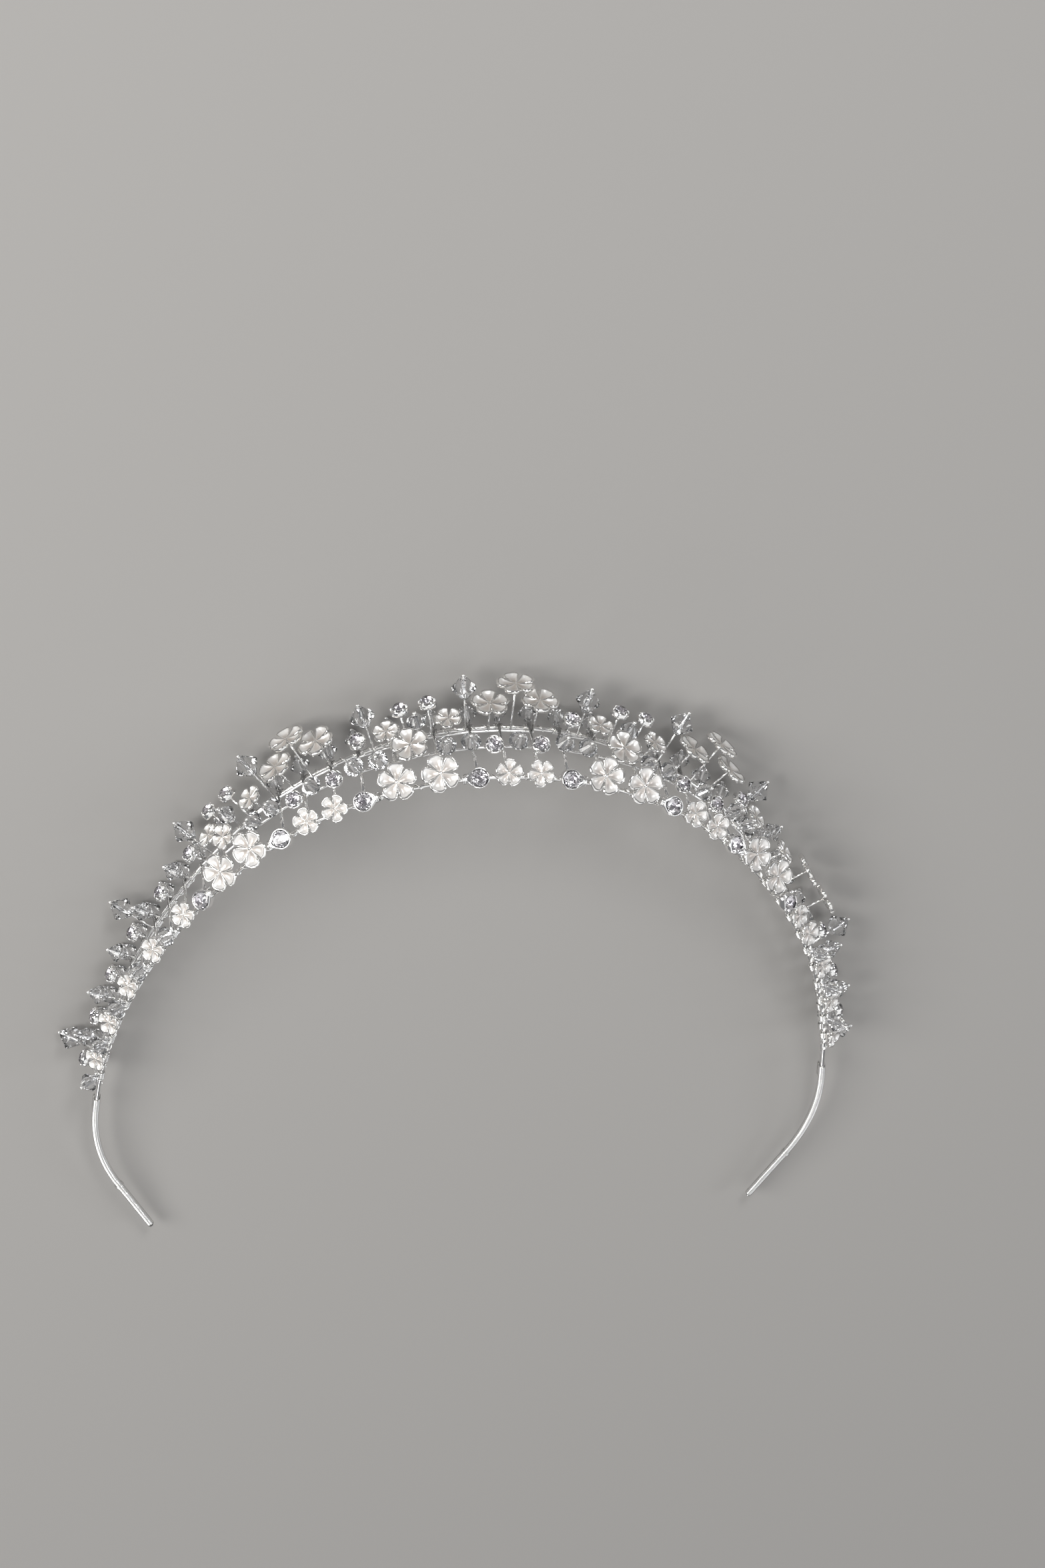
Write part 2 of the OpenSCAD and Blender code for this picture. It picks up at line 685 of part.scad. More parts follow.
// A faceted crystal of two equal halves, drilled for its stem
module crystal(d, len) {
    difference() {
        union() {
            cylinder(d1 = d, d2 = crystal_tip, h = len / 2, $fn = facets);
            mirror([0, 0, 1]) cylinder(d1 = d, d2 = crystal_tip, h = len / 2, $fn = facets);
        }
        translate([0, 0, -len]) cylinder(d = stem_d + 2 * thread_gap, h = 2 * len);
    }
}
module tall_crystal(p) {
    color("lightcyan") in_frame() at_piece(p) crystal(tall_d, tall_len);
}
module front_crystals() {
    color("lightcyan") in_frame()
        for (p = crystals) if (p[8] != "back") at_piece(p) crystal(crystal_d, crystal_len);
}
module back_crystals() {
    color("lightcyan") in_frame()
        for (p = crystals) if (p[8] == "back") at_piece(p) crystal(crystal_d, crystal_len);
}

front_wire();
back_wire();
left_winding();
right_winding();
for (i = [1 : repeats + 2])
    stem_frame(i);
for (i = [1 : len(large_front)])
    large_flower(large_front[i - 1]);
for (i = [1 : len(large_mid)])
    large_flower(large_mid[i - 1]);
for (i = [1 : len(large_top)])
    large_flower(large_top[i - 1]);
for (i = [1 : len(tears)])
    teardrop_setting(tears[i - 1]);
for (i = [1 : len(talls)])
    tall_crystal(talls[i - 1]);
teardrop_stones();
small_flowers();
round_stones();
front_crystals();
back_crystals();
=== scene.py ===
# %% [markdown]
# # A bridal diadem of silver wire, cast flowers and cut crystals
# The diadem is a headband of two round wires that fan apart towards the crown. Short stems carry
# five-petal flowers, teardrop settings, round stones and drilled crystals. The solid model gives
# every size and place. This lesson gives each piece its fine form and its finish.
# The first cell loads the solid model and has a helper that gives the box of one of its parts.

# %% Load the solid model
import math
from collections import namedtuple

import bmesh
import bpy
from mathutils import Matrix, Vector


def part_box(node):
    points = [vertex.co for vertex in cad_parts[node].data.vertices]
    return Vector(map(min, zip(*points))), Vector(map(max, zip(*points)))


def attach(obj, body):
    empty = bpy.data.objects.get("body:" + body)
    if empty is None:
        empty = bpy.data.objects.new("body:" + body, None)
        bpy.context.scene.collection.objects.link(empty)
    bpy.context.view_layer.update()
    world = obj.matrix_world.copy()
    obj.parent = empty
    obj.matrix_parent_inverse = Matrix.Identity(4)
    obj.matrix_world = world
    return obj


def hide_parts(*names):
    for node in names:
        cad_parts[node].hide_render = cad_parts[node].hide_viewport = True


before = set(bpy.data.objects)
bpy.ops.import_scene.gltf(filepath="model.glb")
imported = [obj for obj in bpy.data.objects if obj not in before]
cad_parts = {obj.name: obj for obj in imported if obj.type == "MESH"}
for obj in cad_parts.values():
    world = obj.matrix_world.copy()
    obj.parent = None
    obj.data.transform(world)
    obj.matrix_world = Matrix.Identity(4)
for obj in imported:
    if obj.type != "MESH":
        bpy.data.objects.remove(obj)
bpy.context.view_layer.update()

# %% [markdown]
# ## Sizes
# A maker writes down the stock first: wire gauges, crystal sizes, casting sizes. All values here are
# in millimetres and match the solid model. They turn into metres only where a mesh is made.

# %% Stock and band
MM = 0.001
BAND_W, BAND_H, CROWN_DEG, RAIL_GAP, WIRE_D = 151, 97, 48, 14.4, 0.9
BARE_LEN, COLLAR_LEN, TAIL_R, TAIL_DEG, GRIP_LEN, WINDING_T = 3, 4, 42, 32, 14, 0.25
STONE_D, TEAR_STONE_D, CRYSTAL_TIP, WALL = 2.7, 3.1, 1.2, 0.35
BAR_D, RUN_D, STEM_D, HEAD_D, WRAP_LEN, WRAP_T = 0.7, 0.56, 0.44, 0.8, 1.7, 0.3
ROW_GAP, THREAD_GAP, SEAT_GAP, WIND_GAP, JOINT_T, BAR_GAP = 0.35, 0.12, 0.12, 0.08, 0.03, 0.05
TEAR_LEN, TEAR_TIP_R, TEAR_H, CUP_H = 5, 0.6, 1.6, 1.2
TEAR_R = TEAR_STONE_D / 2 + SEAT_GAP + WALL
CUP_R = STONE_D / 2 + SEAT_GAP + WALL
WRAP_IN = WIRE_D / 2 + WIND_GAP
WRAP_OUT = WRAP_IN + WRAP_T
BAR_H = WRAP_IN + BAR_D / 2 + BAR_GAP
# each kind of piece: its width along the band and half its depth along the stem
WIDE = {"tear": TEAR_LEN, "large": 7.6, "small": 5.5, "tall": 5, "crystal": 4, "round": 2 * CUP_R}
HALF = {"tear": TEAR_H / 2, "large": 0.6, "small": 0.5, "tall": 2.3, "crystal": 1.85,
        "round": CUP_H / 2}
LARGE_D = WIDE["large"]
print("kinds of piece:", ", ".join(WIDE))

# %% [markdown]
# ## The arch
# The band is two circular arcs on each side, as a bender makes it on two mandrels: a tight arc over
# the crown and a slack one towards the ear. `turn_at` and `spot_at` walk along it by arc length.


# %% The arch of a band wire
def sin(deg):
    return math.sin(math.radians(deg))


def cos(deg):
    return math.cos(math.radians(deg))


HALF_W = BAND_W / 2
ARC_SHARE = sin(CROWN_DEG) * cos(CROWN_DEG) - (1 - sin(CROWN_DEG)) * (1 - cos(CROWN_DEG))
CROWN_R = (HALF_W * cos(CROWN_DEG) - (1 - sin(CROWN_DEG)) * BAND_H) / ARC_SHARE
SIDE_R = (sin(CROWN_DEG) * BAND_H - (1 - cos(CROWN_DEG)) * HALF_W) / ARC_SHARE
CROWN_LEN = CROWN_R * math.radians(CROWN_DEG)


def turn_at(s):
    if abs(s) < CROWN_LEN:
        return math.degrees(s / CROWN_R)
    return math.copysign(CROWN_DEG + math.degrees((abs(s) - CROWN_LEN) / SIDE_R), s)


def spot_at(s):
    turn = turn_at(s)
    if abs(s) < CROWN_LEN:
        return CROWN_R * sin(turn), BAND_H - CROWN_R + CROWN_R * cos(turn)
    return math.copysign(1, s) * (HALF_W - SIDE_R) + SIDE_R * sin(turn), SIDE_R * cos(turn)


print("crown radius", round(CROWN_R, 1), "side radius", round(SIDE_R, 1))

# %% [markdown]
# ## The pattern
# One repeat is a front row, a middle row, an upper row, a top row and a back row. Each row is a short
# chart. The gaps in a row are shared out evenly, so the charts hold no places along the band.

# %% The charts of the rows
FRONT = [("tear", 0, 0), ("large", 0, 10), ("large", 4, 34), ("tear", 0, 180), ("small", 0, 12),
         ("small", 2, 50)]  # kind, extra lean, turn
MIDDLE = [("crystal", 22, 0.03, 0), ("crystal", 26, 0, 20), ("large", 16, 0.25, 24),
          ("crystal", 26, 0, 10), ("crystal", 20, 0, 35), ("round", 34, 0, 0),
          ("crystal", 24, 0, 5), ("round", 32, 0.03, 0)]  # kind, lean, lift, turn
# UPPER holds kind, way back, lift and turn, and TOP has the gap in that row before them
UPPER = [("round", 0, 0, 0), ("small", 0, 0.02, 8), ("crystal", 0.04, 0.08, 12),
         ("small", 0, 0.04, 40), ("large", 0.08, 0.34, 20), ("large", 0.1, 0.44, 52)]
TOP = [(1, "tall", 0, 0.04, 0), (2, "round", 0, -0.1, 0), (3, "round", 0, -0.06, 0),
       (4, "tall", 0.04, 0.26, 20), (5, "large", 0, 0.36, 30)]
END_FRONT = [("crystal", 0, 0), ("small", 0, 30)]
END_UPPER = [("round", 0, -0.1, 0), ("crystal", 0, 0.08, 15)]
END_TOP = [(1, "tall", 0, 0.12, 10)]
REPEATS, LEFT_ENDS, RIGHT_ENDS, END_GAP, TALL_EVERY = 4, 5, 3, 0.8, 3
SHIFT, UPPER_OFFSET = -1, 1.6


def widths(chart):
    return [WIDE[entry[0]] for entry in chart]


def need(chart, gap):
    return sum(widths(chart)) + len(chart) * gap


def gap_of(chart, pitch):
    return (pitch - sum(widths(chart))) / len(chart)


def gap_in(chart, pitch, i):
    return sum(widths(chart)[:i]) + i * gap_of(chart, pitch)


def place_in(chart, pitch, i):
    return gap_in(chart, pitch, i) + (widths(chart)[i] + gap_of(chart, pitch)) / 2


FULL_PITCH = max(need(FRONT, ROW_GAP), need(MIDDLE, ROW_GAP), need(UPPER, STEM_D + ROW_GAP))
END_PITCH = max(need(END_FRONT, END_GAP), need(END_UPPER, STEM_D + ROW_GAP))
END = (END_PITCH, False)
PLAN = [END] * LEFT_ENDS + [(FULL_PITCH, True)] * REPEATS + [END] * RIGHT_ENDS
LENGTH = sum(pitch for pitch, full in PLAN)
START = SHIFT - LENGTH / 2
print("repeat of", round(FULL_PITCH, 2), "mm, ornament of", round(LENGTH, 1), "mm")

# %% [markdown]
# ## Where every piece stands
# The wires meet at the tails and fan apart to the crown. A piece has a kind, a place s along the
# band, a place in the cross-section (z to the front, h outwards), a lean, a turn about its stem, the
# length of that stem and a row. The rules are those of the solid model.

# %% The fan of the two wires
MERGE_S = max(-START, START + LENGTH) + UPPER_OFFSET + BARE_LEN
MERGE_TURN = turn_at(MERGE_S)
MERGE_X, MERGE_Y = spot_at(MERGE_S)
HALF_PAIR = (WIRE_D + WIND_GAP) / 2 + JOINT_T
FAN = math.degrees(math.asin((RAIL_GAP / 2 - HALF_PAIR) / (BAND_H - MERGE_Y)))


def half_gap(s):
    return HALF_PAIR + (spot_at(s)[1] - MERGE_Y) * sin(FAN)


print("the wires open by", round(2 * FAN, 2), "degrees")

# %% The rows in the cross-section
FRONT_LEAN, BACK_LEAN, BACK_TURN, SIDE_DROP = 42, 60, 15, 0.4
EDGE_Z, EDGE_H, MID_SHARE, MID_BACK, HIGH_SHARE = 2.95, 0.2, 0.2, 1.9, 0.72
LEAST_ROOM, LARGE_ROOM = 5.4, 6.2
HIGH = {"upper": (0.55, 0.7, 4.1), "top": (0.5, 3.3, 7.3)}  # share of the gap, way back, rise
Piece = namedtuple("Piece", "kind s z h lean turn stem row")


def front_piece(s, kind, extra, turn):
    lean = FRONT_LEAN + extra
    r = TEAR_R if kind == "tear" else WIDE[kind] / 2
    proud = HALF[kind] - HALF["large"]
    z = EDGE_Z - r * cos(lean) + proud * sin(lean)
    h = EDGE_H + r * sin(lean) + proud * cos(lean)
    to_bar = (h - BAR_H) / cos(lean)
    to_wrap = z * sin(lean) + h * cos(lean) - (WRAP_IN + WRAP_OUT) / 2
    stem = to_wrap if z - to_bar * sin(lean) > 0 else to_bar
    return Piece(kind, s, z, h, lean, turn, stem, "front")


def middle_piece(s, kind, lean, lift, turn):
    if kind == "large" and half_gap(s) < LARGE_ROOM:
        kind = "small"
    spread = WIDE[kind] / 2 * math.tan(math.radians(lean)) if kind in ("large", "small") else 0
    reach = (BAR_D / 2 + ROW_GAP + lift * LARGE_D) / cos(lean) + HALF[kind] + spread
    z = MID_SHARE * half_gap(s) - MID_BACK + reach * sin(lean)
    return Piece(kind, s, z, BAR_H + reach * cos(lean), lean, turn, reach, "mid")


def high_piece(row, s, kind, back, lift, turn):
    share, row_back, rise = HIGH[row]
    rise = (rise + lift * LARGE_D) * (1 - SIDE_DROP * (1 - half_gap(s) / half_gap(0)))
    z = -share * half_gap(s) - row_back - back * LARGE_D
    lean = math.degrees(math.atan((z + HIGH_SHARE * half_gap(s)) / rise))
    return Piece(kind, s, z, BAR_H + rise, lean, turn, rise / cos(lean), row)


def back_piece(s):
    reach = WRAP_OUT + ROW_GAP + HALF["crystal"]
    z, h = -reach * sin(BACK_LEAN), reach * cos(BACK_LEAN)
    return Piece("crystal", s, z, h, -BACK_LEAN, BACK_TURN, reach, "back")


print("stems reach", round(WRAP_OUT + ROW_GAP, 2), "mm to the first crystal of the back row")


# %% Every piece along the band
def section(k, start, pitch, full):
    front, upper = (FRONT, UPPER) if full else (END_FRONT, END_UPPER)
    top = TOP if full else END_TOP if k % TALL_EVERY == 0 else []
    spots = [start + place_in(front, pitch, i) for i in range(len(front))]
    found = [front_piece(s, *entry) for s, entry in zip(spots, front)]
    for i, entry in enumerate(MIDDLE if full else []):
        s = start + place_in(MIDDLE, pitch, i)
        if half_gap(s) > LEAST_ROOM:
            found.append(middle_piece(s, *entry))
    for i, entry in enumerate(upper):
        s = start + UPPER_OFFSET + place_in(upper, pitch, i)
        found.append(high_piece("upper", s, *entry))
    for gap, *entry in top:
        s = start + UPPER_OFFSET + gap_in(upper, pitch, gap)
        if gap == 1 or half_gap(s) > LEAST_ROOM:
            found.append(high_piece("top", s, *entry))
    return found + [back_piece(s) for s in spots]


sections, start = [], START
for k, (pitch, full) in enumerate(PLAN):
    sections.append(section(k, start, pitch, full))
    start += pitch
pieces = [p for found in sections for p in found]
print(len(pieces), "pieces on stems:", {kind: sum(p.kind == kind for p in pieces) for kind in WIDE})

# %% [markdown]
# ## The tails
# Behind the ear the wires run through a collar, round a bend and along a straight end. One function
# walks down that way, for the windings and for the overall length.

# %% The way down a tail
BEND_LEN = TAIL_R * math.radians(TAIL_DEG)
TAIL_LEN = COLLAR_LEN + BEND_LEN + GRIP_LEN
TAIL_OUT = WIRE_D / 2 + WIND_GAP + WINDING_T


def tail_point(x):
    """A point of the right tail, x millimetres from where the wires meet."""
    collar = min(x, COLLAR_LEN)
    turn = MERGE_TURN + math.degrees(min(max(x - COLLAR_LEN, 0), BEND_LEN) / TAIL_R)
    end = max(x - COLLAR_LEN - BEND_LEN, 0)
    across = collar * cos(MERGE_TURN) + TAIL_R * (sin(turn) - sin(MERGE_TURN)) + end * cos(turn)
    down = collar * sin(MERGE_TURN) + TAIL_R * (cos(MERGE_TURN) - cos(turn)) + end * sin(turn)
    return MERGE_X + across, MERGE_Y - down


print("each tail is", round(TAIL_LEN, 1), "mm long")

# %% [markdown]
# ## Into the frame of the solid model
# The diadem lies on its back edge. Each place becomes a matrix in millimetres, with Z along the stem.
# The cell ends with a check: the middles of some solids against the places worked out here.


# %% Matrices in the frame
def shift(x, y, z):
    return Matrix.Translation((x, y, z))


def tip(deg, axis="X"):
    return Matrix.Rotation(math.radians(deg), 4, axis)


BEAD_OUT = THREAD_GAP + HEAD_D * 3 / 4
top_share, top_back, top_rise = HIGH["top"]
highest = BAR_H + top_rise + TOP[3][3] * LARGE_D + HALF["tall"] + BEAD_OUT
TOP_EDGE = (MERGE_Y + (BAND_H - MERGE_Y) * cos(FAN) ** 2 + highest * cos(FAN)
            + (top_share * half_gap(0) + top_back) * sin(FAN))
LOW_EDGE = tail_point(TAIL_LEN)[1] - TAIL_OUT
back_reach = WRAP_OUT + ROW_GAP + 2 * HALF["crystal"] + BEAD_OUT
SEAT_Z = back_reach * sin(BACK_LEAN) + HEAD_D / 4 * cos(BACK_LEAN)
MIDDLE_Y = (TOP_EDGE + LOW_EDGE) / 2
FRAME = shift(0, MERGE_Y - MIDDLE_Y, SEAT_Z) @ tip(FAN) @ shift(0, -MERGE_Y, HALF_PAIR)
SIDE = {"front": 1, "back": -1}


def band(s, side=0):
    """The place s on the front wire (1), the back wire (-1) or midway: Y outwards, Z to the front."""
    x, y = spot_at(s)
    if side == 0:
        y = MERGE_Y + (y - MERGE_Y) * cos(FAN)
        return FRAME @ shift(x, y, 0) @ tip(-turn_at(s), "Z")
    fanned = shift(0, MERGE_Y, side * HALF_PAIR) @ tip(side * FAN)
    return FRAME @ fanned @ shift(x, y - MERGE_Y, 0) @ tip(-turn_at(s), "Z")


def stand(p, along=0.0):
    """The middle of a piece, or a point further along its stem, with Z along the stem."""
    place = shift(0, p.h + along * cos(p.lean), p.z + along * sin(p.lean))
    return band(p.s, SIDE.get(p.row, 0)) @ place @ tip(p.lean - 90) @ tip(p.turn, "Z")


def of_kind(kind, *rows):
    return [p for p in pieces if p.kind == kind and (not rows or p.row in rows)]


def stands(kind, *rows):
    return [stand(p) for p in of_kind(kind, *rows)]


groups = {"front_flower_": of_kind("large", "front"), "middle_flower_": of_kind("large", "mid"),
          "top_flower_": of_kind("large", "upper", "top"), "tall_crystal_": of_kind("tall")}
off = []
for prefix, found in groups.items():
    for i, p in enumerate(found):
        low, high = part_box(prefix + str(i + 1))
        off.append(((Vector(low) + Vector(high)) / 2 / MM - stand(p).translation).length)
print("places against the solids: off by at most", round(max(off), 3), "mm")

# %% [markdown]
# ## Camera, floor and light
# The photo looks at the band from above its front, turned a little to one side. Polished metal shows
# what is around it, so a wide soft key from the upper left, three small weak lights and a soft
# ceiling stand in a grey surround, which gives the bright metal its dark lines.

# %% Camera
VIEW_TURN, VIEW_TILT, VIEW_ROLL, DISTANCE, AIM = 11.64, 40.79, -5.82, 650, (5.57, -5.68)
PHOTO_W, FOCAL, SENSOR = 1568, 5167.4, 36  # pixels, pixels and millimetres
scene = bpy.context.scene


def new_object(name, data):
    made = bpy.data.objects.new(name, data)
    scene.collection.objects.link(made)
    return made


toward = Vector((-sin(VIEW_TURN) * cos(VIEW_TILT), sin(VIEW_TILT), cos(VIEW_TURN) * cos(VIEW_TILT)))
right = Vector((cos(VIEW_TURN), 0, sin(VIEW_TURN)))
up = toward.cross(right)
axes = Matrix((right * cos(VIEW_ROLL) - up * sin(VIEW_ROLL),
               right * sin(VIEW_ROLL) + up * cos(VIEW_ROLL), toward)).transposed()
crown = FRAME @ shift(0, BAND_H, 0)
placed = (crown.to_3x3() @ axes).to_4x4()
placed.translation = crown @ (toward * DISTANCE + right * AIM[0] + up * AIM[1]) * MM
camera = new_object("camera", bpy.data.cameras.new("camera"))
camera.matrix_world = placed
camera.data.sensor_fit, camera.data.sensor_width = "HORIZONTAL", SENSOR
camera.data.lens = FOCAL / PHOTO_W * SENSOR
camera.data.clip_start, camera.data.clip_end = 0.02, 20
scene.camera = camera
print("camera at", [round(v, 3) for v in placed.translation], "lens", round(camera.data.lens, 1), "mm")


# %% Lights
def aimed_light(name, kind, spot):
    """A light at a spot in metres that faces the diadem."""
    lamp = new_object(name, bpy.data.lights.new(name, kind))
    lamp.location = spot
    lamp.rotation_euler = Vector(spot).to_track_quat("Z", "Y").to_euler()
    return lamp.data


for name, spot, size, watts, tint in (
        ("window", (-0.76, 0.30, 0.58), 0.62, 7.4, (1.0, 0.99, 0.97)),
        ("front", (0.10, 0.84, 0.54), 0.26, 2.8, (1.0, 1.0, 1.0)),
        ("right", (0.86, 0.12, 0.42), 0.34, 1.4, (0.94, 0.97, 1.0)),
        ("low", (-0.30, -0.84, 0.40), 0.30, 0.7, (1.0, 1.0, 1.0))):
    light = aimed_light(name, "AREA", spot)
    light.shape, light.size, light.energy, light.color = "DISK", size, watts, tint
ceiling = aimed_light("ceiling", "SUN", (0.24, -0.20, 0.95))
ceiling.energy, ceiling.angle = 0.9, math.radians(80)
world = bpy.data.worlds.new("studio")
world.use_nodes = True
world.node_tree.nodes["Background"].inputs["Color"].default_value = (0.19, 0.19, 0.195, 1)
scene.world = world
scene.view_settings.view_transform = "Standard"
print("four soft lights, a ceiling and a grey surround")

# %% Floor
FLOOR = 9  # metres from the middle to each edge


def fill(node, values):
    """Sets input sockets of a node, each by its name or number."""
    for socket, value in values.items():
        node.inputs[socket].default_value = value


def new_material(name):
    material = bpy.data.materials.new(name)
    material.use_nodes = True
    return material, material.node_tree, material.node_tree.nodes["Principled BSDF"]


floor_mesh = bpy.data.meshes.new("floor")
corners = [(FLOOR * x, FLOOR * y, 0) for x, y in ((-1, -1), (1, -1), (1, 1), (-1, 1))]
floor_mesh.from_pydata(corners, [], [(0, 1, 2, 3)])
floor_finish, tree, shader = new_material("floor")
fill(shader, {"Base Color": (0.35, 0.34, 0.328, 1), "Roughness": 0.85})
floor_mesh.materials.append(floor_finish)
floor = new_object("floor", floor_mesh)
print("a pale floor,", 2 * FLOOR, "m wide")

# %% [markdown]
# ## Finishes
# Silver plate is never quite even: it carries fine handling marks and a faint haze. That effect is in
# most of the finishes here, so it is one node group with its own sockets. It gives a roughness and a
# height, and the shader stays in each material. The helpers make trees, nodes and links.


# %% Helpers for node trees
def new_tree(name, kind, inputs, outputs):
    """A tree with named sockets. inputs and outputs give each socket's kind by its name."""
    tree = bpy.data.node_groups.new(name, kind)
    for in_out, sockets in (("INPUT", inputs), ("OUTPUT", outputs)):
        for title, socket_kind in sockets.items():
            socket_type = "NodeSocket" + socket_kind
            tree.interface.new_socket(title, in_out=in_out, socket_type=socket_type)
    return tree, tree.nodes.new("NodeGroupInput"), tree.nodes.new("NodeGroupOutput")


def add(tree, kind, values=None, **settings):
    """A node. Its settings come first, because they decide which sockets it has."""
    node = tree.nodes.new(kind)
    for name, value in settings.items():
        setattr(node, name, value)
    fill(node, values or {})
    return node


def join(tree, *rows):
    """Each row is a node, its output, the next node and its input."""
    for node, output, following, socket in rows:
        tree.links.new(node.outputs[output], following.inputs[socket])


def end_tree(tree, given, result, node, output):
    """Every tree of geometry ends in plain geometry with its finish."""
    real, finish = add(tree, "GeometryNodeRealizeInstances"), add(tree, "GeometryNodeSetMaterial")
    join(tree, (node, output, real, "Geometry"), (real, "Geometry", finish, "Geometry"),
         (given, "Finish", finish, "Material"), (finish, "Geometry", result, 0))
    return tree


print("helpers for node trees ready")


# %% Group: the haze on handled silver
def haze_group():
    tree, given, result = new_tree(
        "handled silver", "ShaderNodeTree", {"Scale": "Float", "Polished": "Float", "Hazy": "Float"},
        {"Roughness": "Float", "Height": "Float"})
    coords = add(tree, "ShaderNodeTexCoord")
    noise = add(tree, "ShaderNodeTexNoise", {"Detail": 5})
    fine = add(tree, "ShaderNodeTexNoise", {"Detail": 2})
    faster = add(tree, "ShaderNodeMath", {1: 3.7}, operation="MULTIPLY")
    spread = add(tree, "ShaderNodeMapRange", {"From Min": 0.3, "From Max": 0.7})
    join(tree, (coords, "Object", noise, "Vector"), (coords, "Object", fine, "Vector"),
         (given, "Scale", noise, "Scale"), (given, "Scale", faster, 0), (faster, 0, fine, "Scale"),
         (noise, "Fac", spread, "Value"), (given, "Polished", spread, "To Min"),
         (given, "Hazy", spread, "To Max"), (spread, "Result", result, "Roughness"),
         (fine, "Fac", result, "Height"))
    return tree


haze = haze_group()
print("group:", haze.name, [s.name for s in haze.interface.items_tree])

# %% Silver for wire and settings
MARK_SCALE, MARK_BUMP, MARK_DEPTH = 900.0, 0.05, 0.00003


def silver(name, colour, polished, hazy):
    material, tree, shader = new_material(name)
    fill(shader, {"Base Color": (*colour, 1), "Metallic": 1})
    marks = add(tree, "ShaderNodeGroup", node_tree=haze)
    fill(marks, {"Scale": MARK_SCALE, "Polished": polished, "Hazy": hazy})
    relief = add(tree, "ShaderNodeBump", {"Strength": MARK_BUMP, "Distance": MARK_DEPTH})
    join(tree, (marks, "Roughness", shader, "Roughness"), (marks, "Height", relief, "Height"),
         (relief, "Normal", shader, "Normal"))
    return material


band_silver = silver("band silver", (0.93, 0.925, 0.91), 0.06, 0.16)
wound_silver = silver("wound silver", (0.90, 0.895, 0.885), 0.1, 0.24)
stem_silver = silver("stem silver", (0.93, 0.925, 0.915), 0.08, 0.2)
setting_silver = silver("setting silver", (0.95, 0.945, 0.935), 0.04, 0.14)
foil_silver = silver("foil silver", (0.95, 0.935, 0.95), 0.02, 0.06)
print("silver finishes:", [m.name for m in bpy.data.materials if "silver" in m.name])

# %% [markdown]
# ## The finish of the flowers
# The castings are tumbled, so the rims come out mirror bright, and the spoon-shaped hollows keep a
# pearly satin skin, with painted warm shade towards the centre. Between the two lies a thin painted
# dark reflection. A point attribute made with the petals says how far into the hollow a point is, and
# the material blends by it: the painted dark reflection lies where it is halfway. A second attribute
# says where the painted shade lies.

# %% Flower silver
# rim, pearly hollow, painted warm shade and a painted dark reflection line
RIM, PEARL, SHADE_COLOUR, DARK_REFLECTION = (0.95, 0.94, 0.92), (0.96, 0.95, 0.935), (0.62, 0.57, 0.53), (0.24, 0.235, 0.23)
# how strong the painted dark reflection is, then the metal and roughness of the hollows
DARK_REFLECTION_GAIN, PEARL_METAL, PEARL_ROUGH = 2.6, 0.5, 0.28


def flower_silver(name):
    material = silver(name, RIM, 0.05, 0.14)
    tree = material.node_tree
    shader, marks = tree.nodes["Principled BSDF"], tree.nodes["Group"]
    hollow = add(tree, "ShaderNodeAttribute", attribute_name="hollow")
    # painted warm shade towards the centre of the hollows, mixed into the pearly colour
    painted_shade = add(tree, "ShaderNodeAttribute", attribute_name="painted_shade")
    skin = add(tree, "ShaderNodeMix", {"A": (*PEARL, 1), "B": (*SHADE_COLOUR, 1)}, data_type="RGBA")
    whole = add(tree, "ShaderNodeMix", {"A": (*RIM, 1)}, data_type="RGBA")
    # a thin painted dark reflection, strongest where the hollow turns into the rim
    rest = add(tree, "ShaderNodeMath", {0: 1}, operation="SUBTRACT")
    line = add(tree, "ShaderNodeMath", operation="MULTIPLY")
    dark_share = add(tree, "ShaderNodeMath", {1: DARK_REFLECTION_GAIN}, operation="MULTIPLY", use_clamp=True)
    dark_reflection = add(tree, "ShaderNodeMix", {"B": (*DARK_REFLECTION, 1)}, data_type="RGBA")
    metal = add(tree, "ShaderNodeMapRange", {"To Min": 1.0, "To Max": PEARL_METAL})
    rough = add(tree, "ShaderNodeMath", {1: PEARL_ROUGH}, operation="MULTIPLY_ADD")
    join(tree, (painted_shade, "Fac", skin, "Factor"), (hollow, "Fac", whole, "Factor"),
         (skin, "Result", whole, "B"), (hollow, "Fac", rest, 1), (hollow, "Fac", line, 0),
         (rest, 0, line, 1), (line, 0, dark_share, 0), (dark_share, 0, dark_reflection, "Factor"),
         (whole, "Result", dark_reflection, "A"), (dark_reflection, "Result", shader, "Base Color"),
         (hollow, "Fac", metal, "Value"), (metal, "Result", shader, "Metallic"),
         (hollow, "Fac", rough, 0), (marks, "Roughness", rough, 2), (rough, 0, shader, "Roughness"))
    return material


petal_silver = flower_silver("petal silver")
print("flower finish:", petal_silver.name)

# %% [markdown]
# ## Glass
# The crystals are clear lead glass, and the stones are foiled behind. Clear glass needs no texture of
# its own: its facets split what is around it. A faint cool tint and a few handling marks keep it real.

# %% Crystal and stone
GLASS_SCALE, GLASS_HAZE, GLASS_DIM = 400.0, 0.02, 0.96


def cut_glass(name, colour, ior):
    material, tree, shader = new_material(name)
    fill(shader, {"Transmission Weight": 1, "IOR": ior})
    marks = add(tree, "ShaderNodeGroup", node_tree=haze)
    fill(marks, {"Scale": GLASS_SCALE, "Polished": 0.0, "Hazy": GLASS_HAZE})
    dim = [c * GLASS_DIM for c in colour]
    tint = add(tree, "ShaderNodeMix", {"A": (*colour, 1), "B": (*dim, 1)}, data_type="RGBA")
    join(tree, (marks, "Height", tint, "Factor"), (tint, "Result", shader, "Base Color"),
         (marks, "Roughness", shader, "Roughness"))
    return material


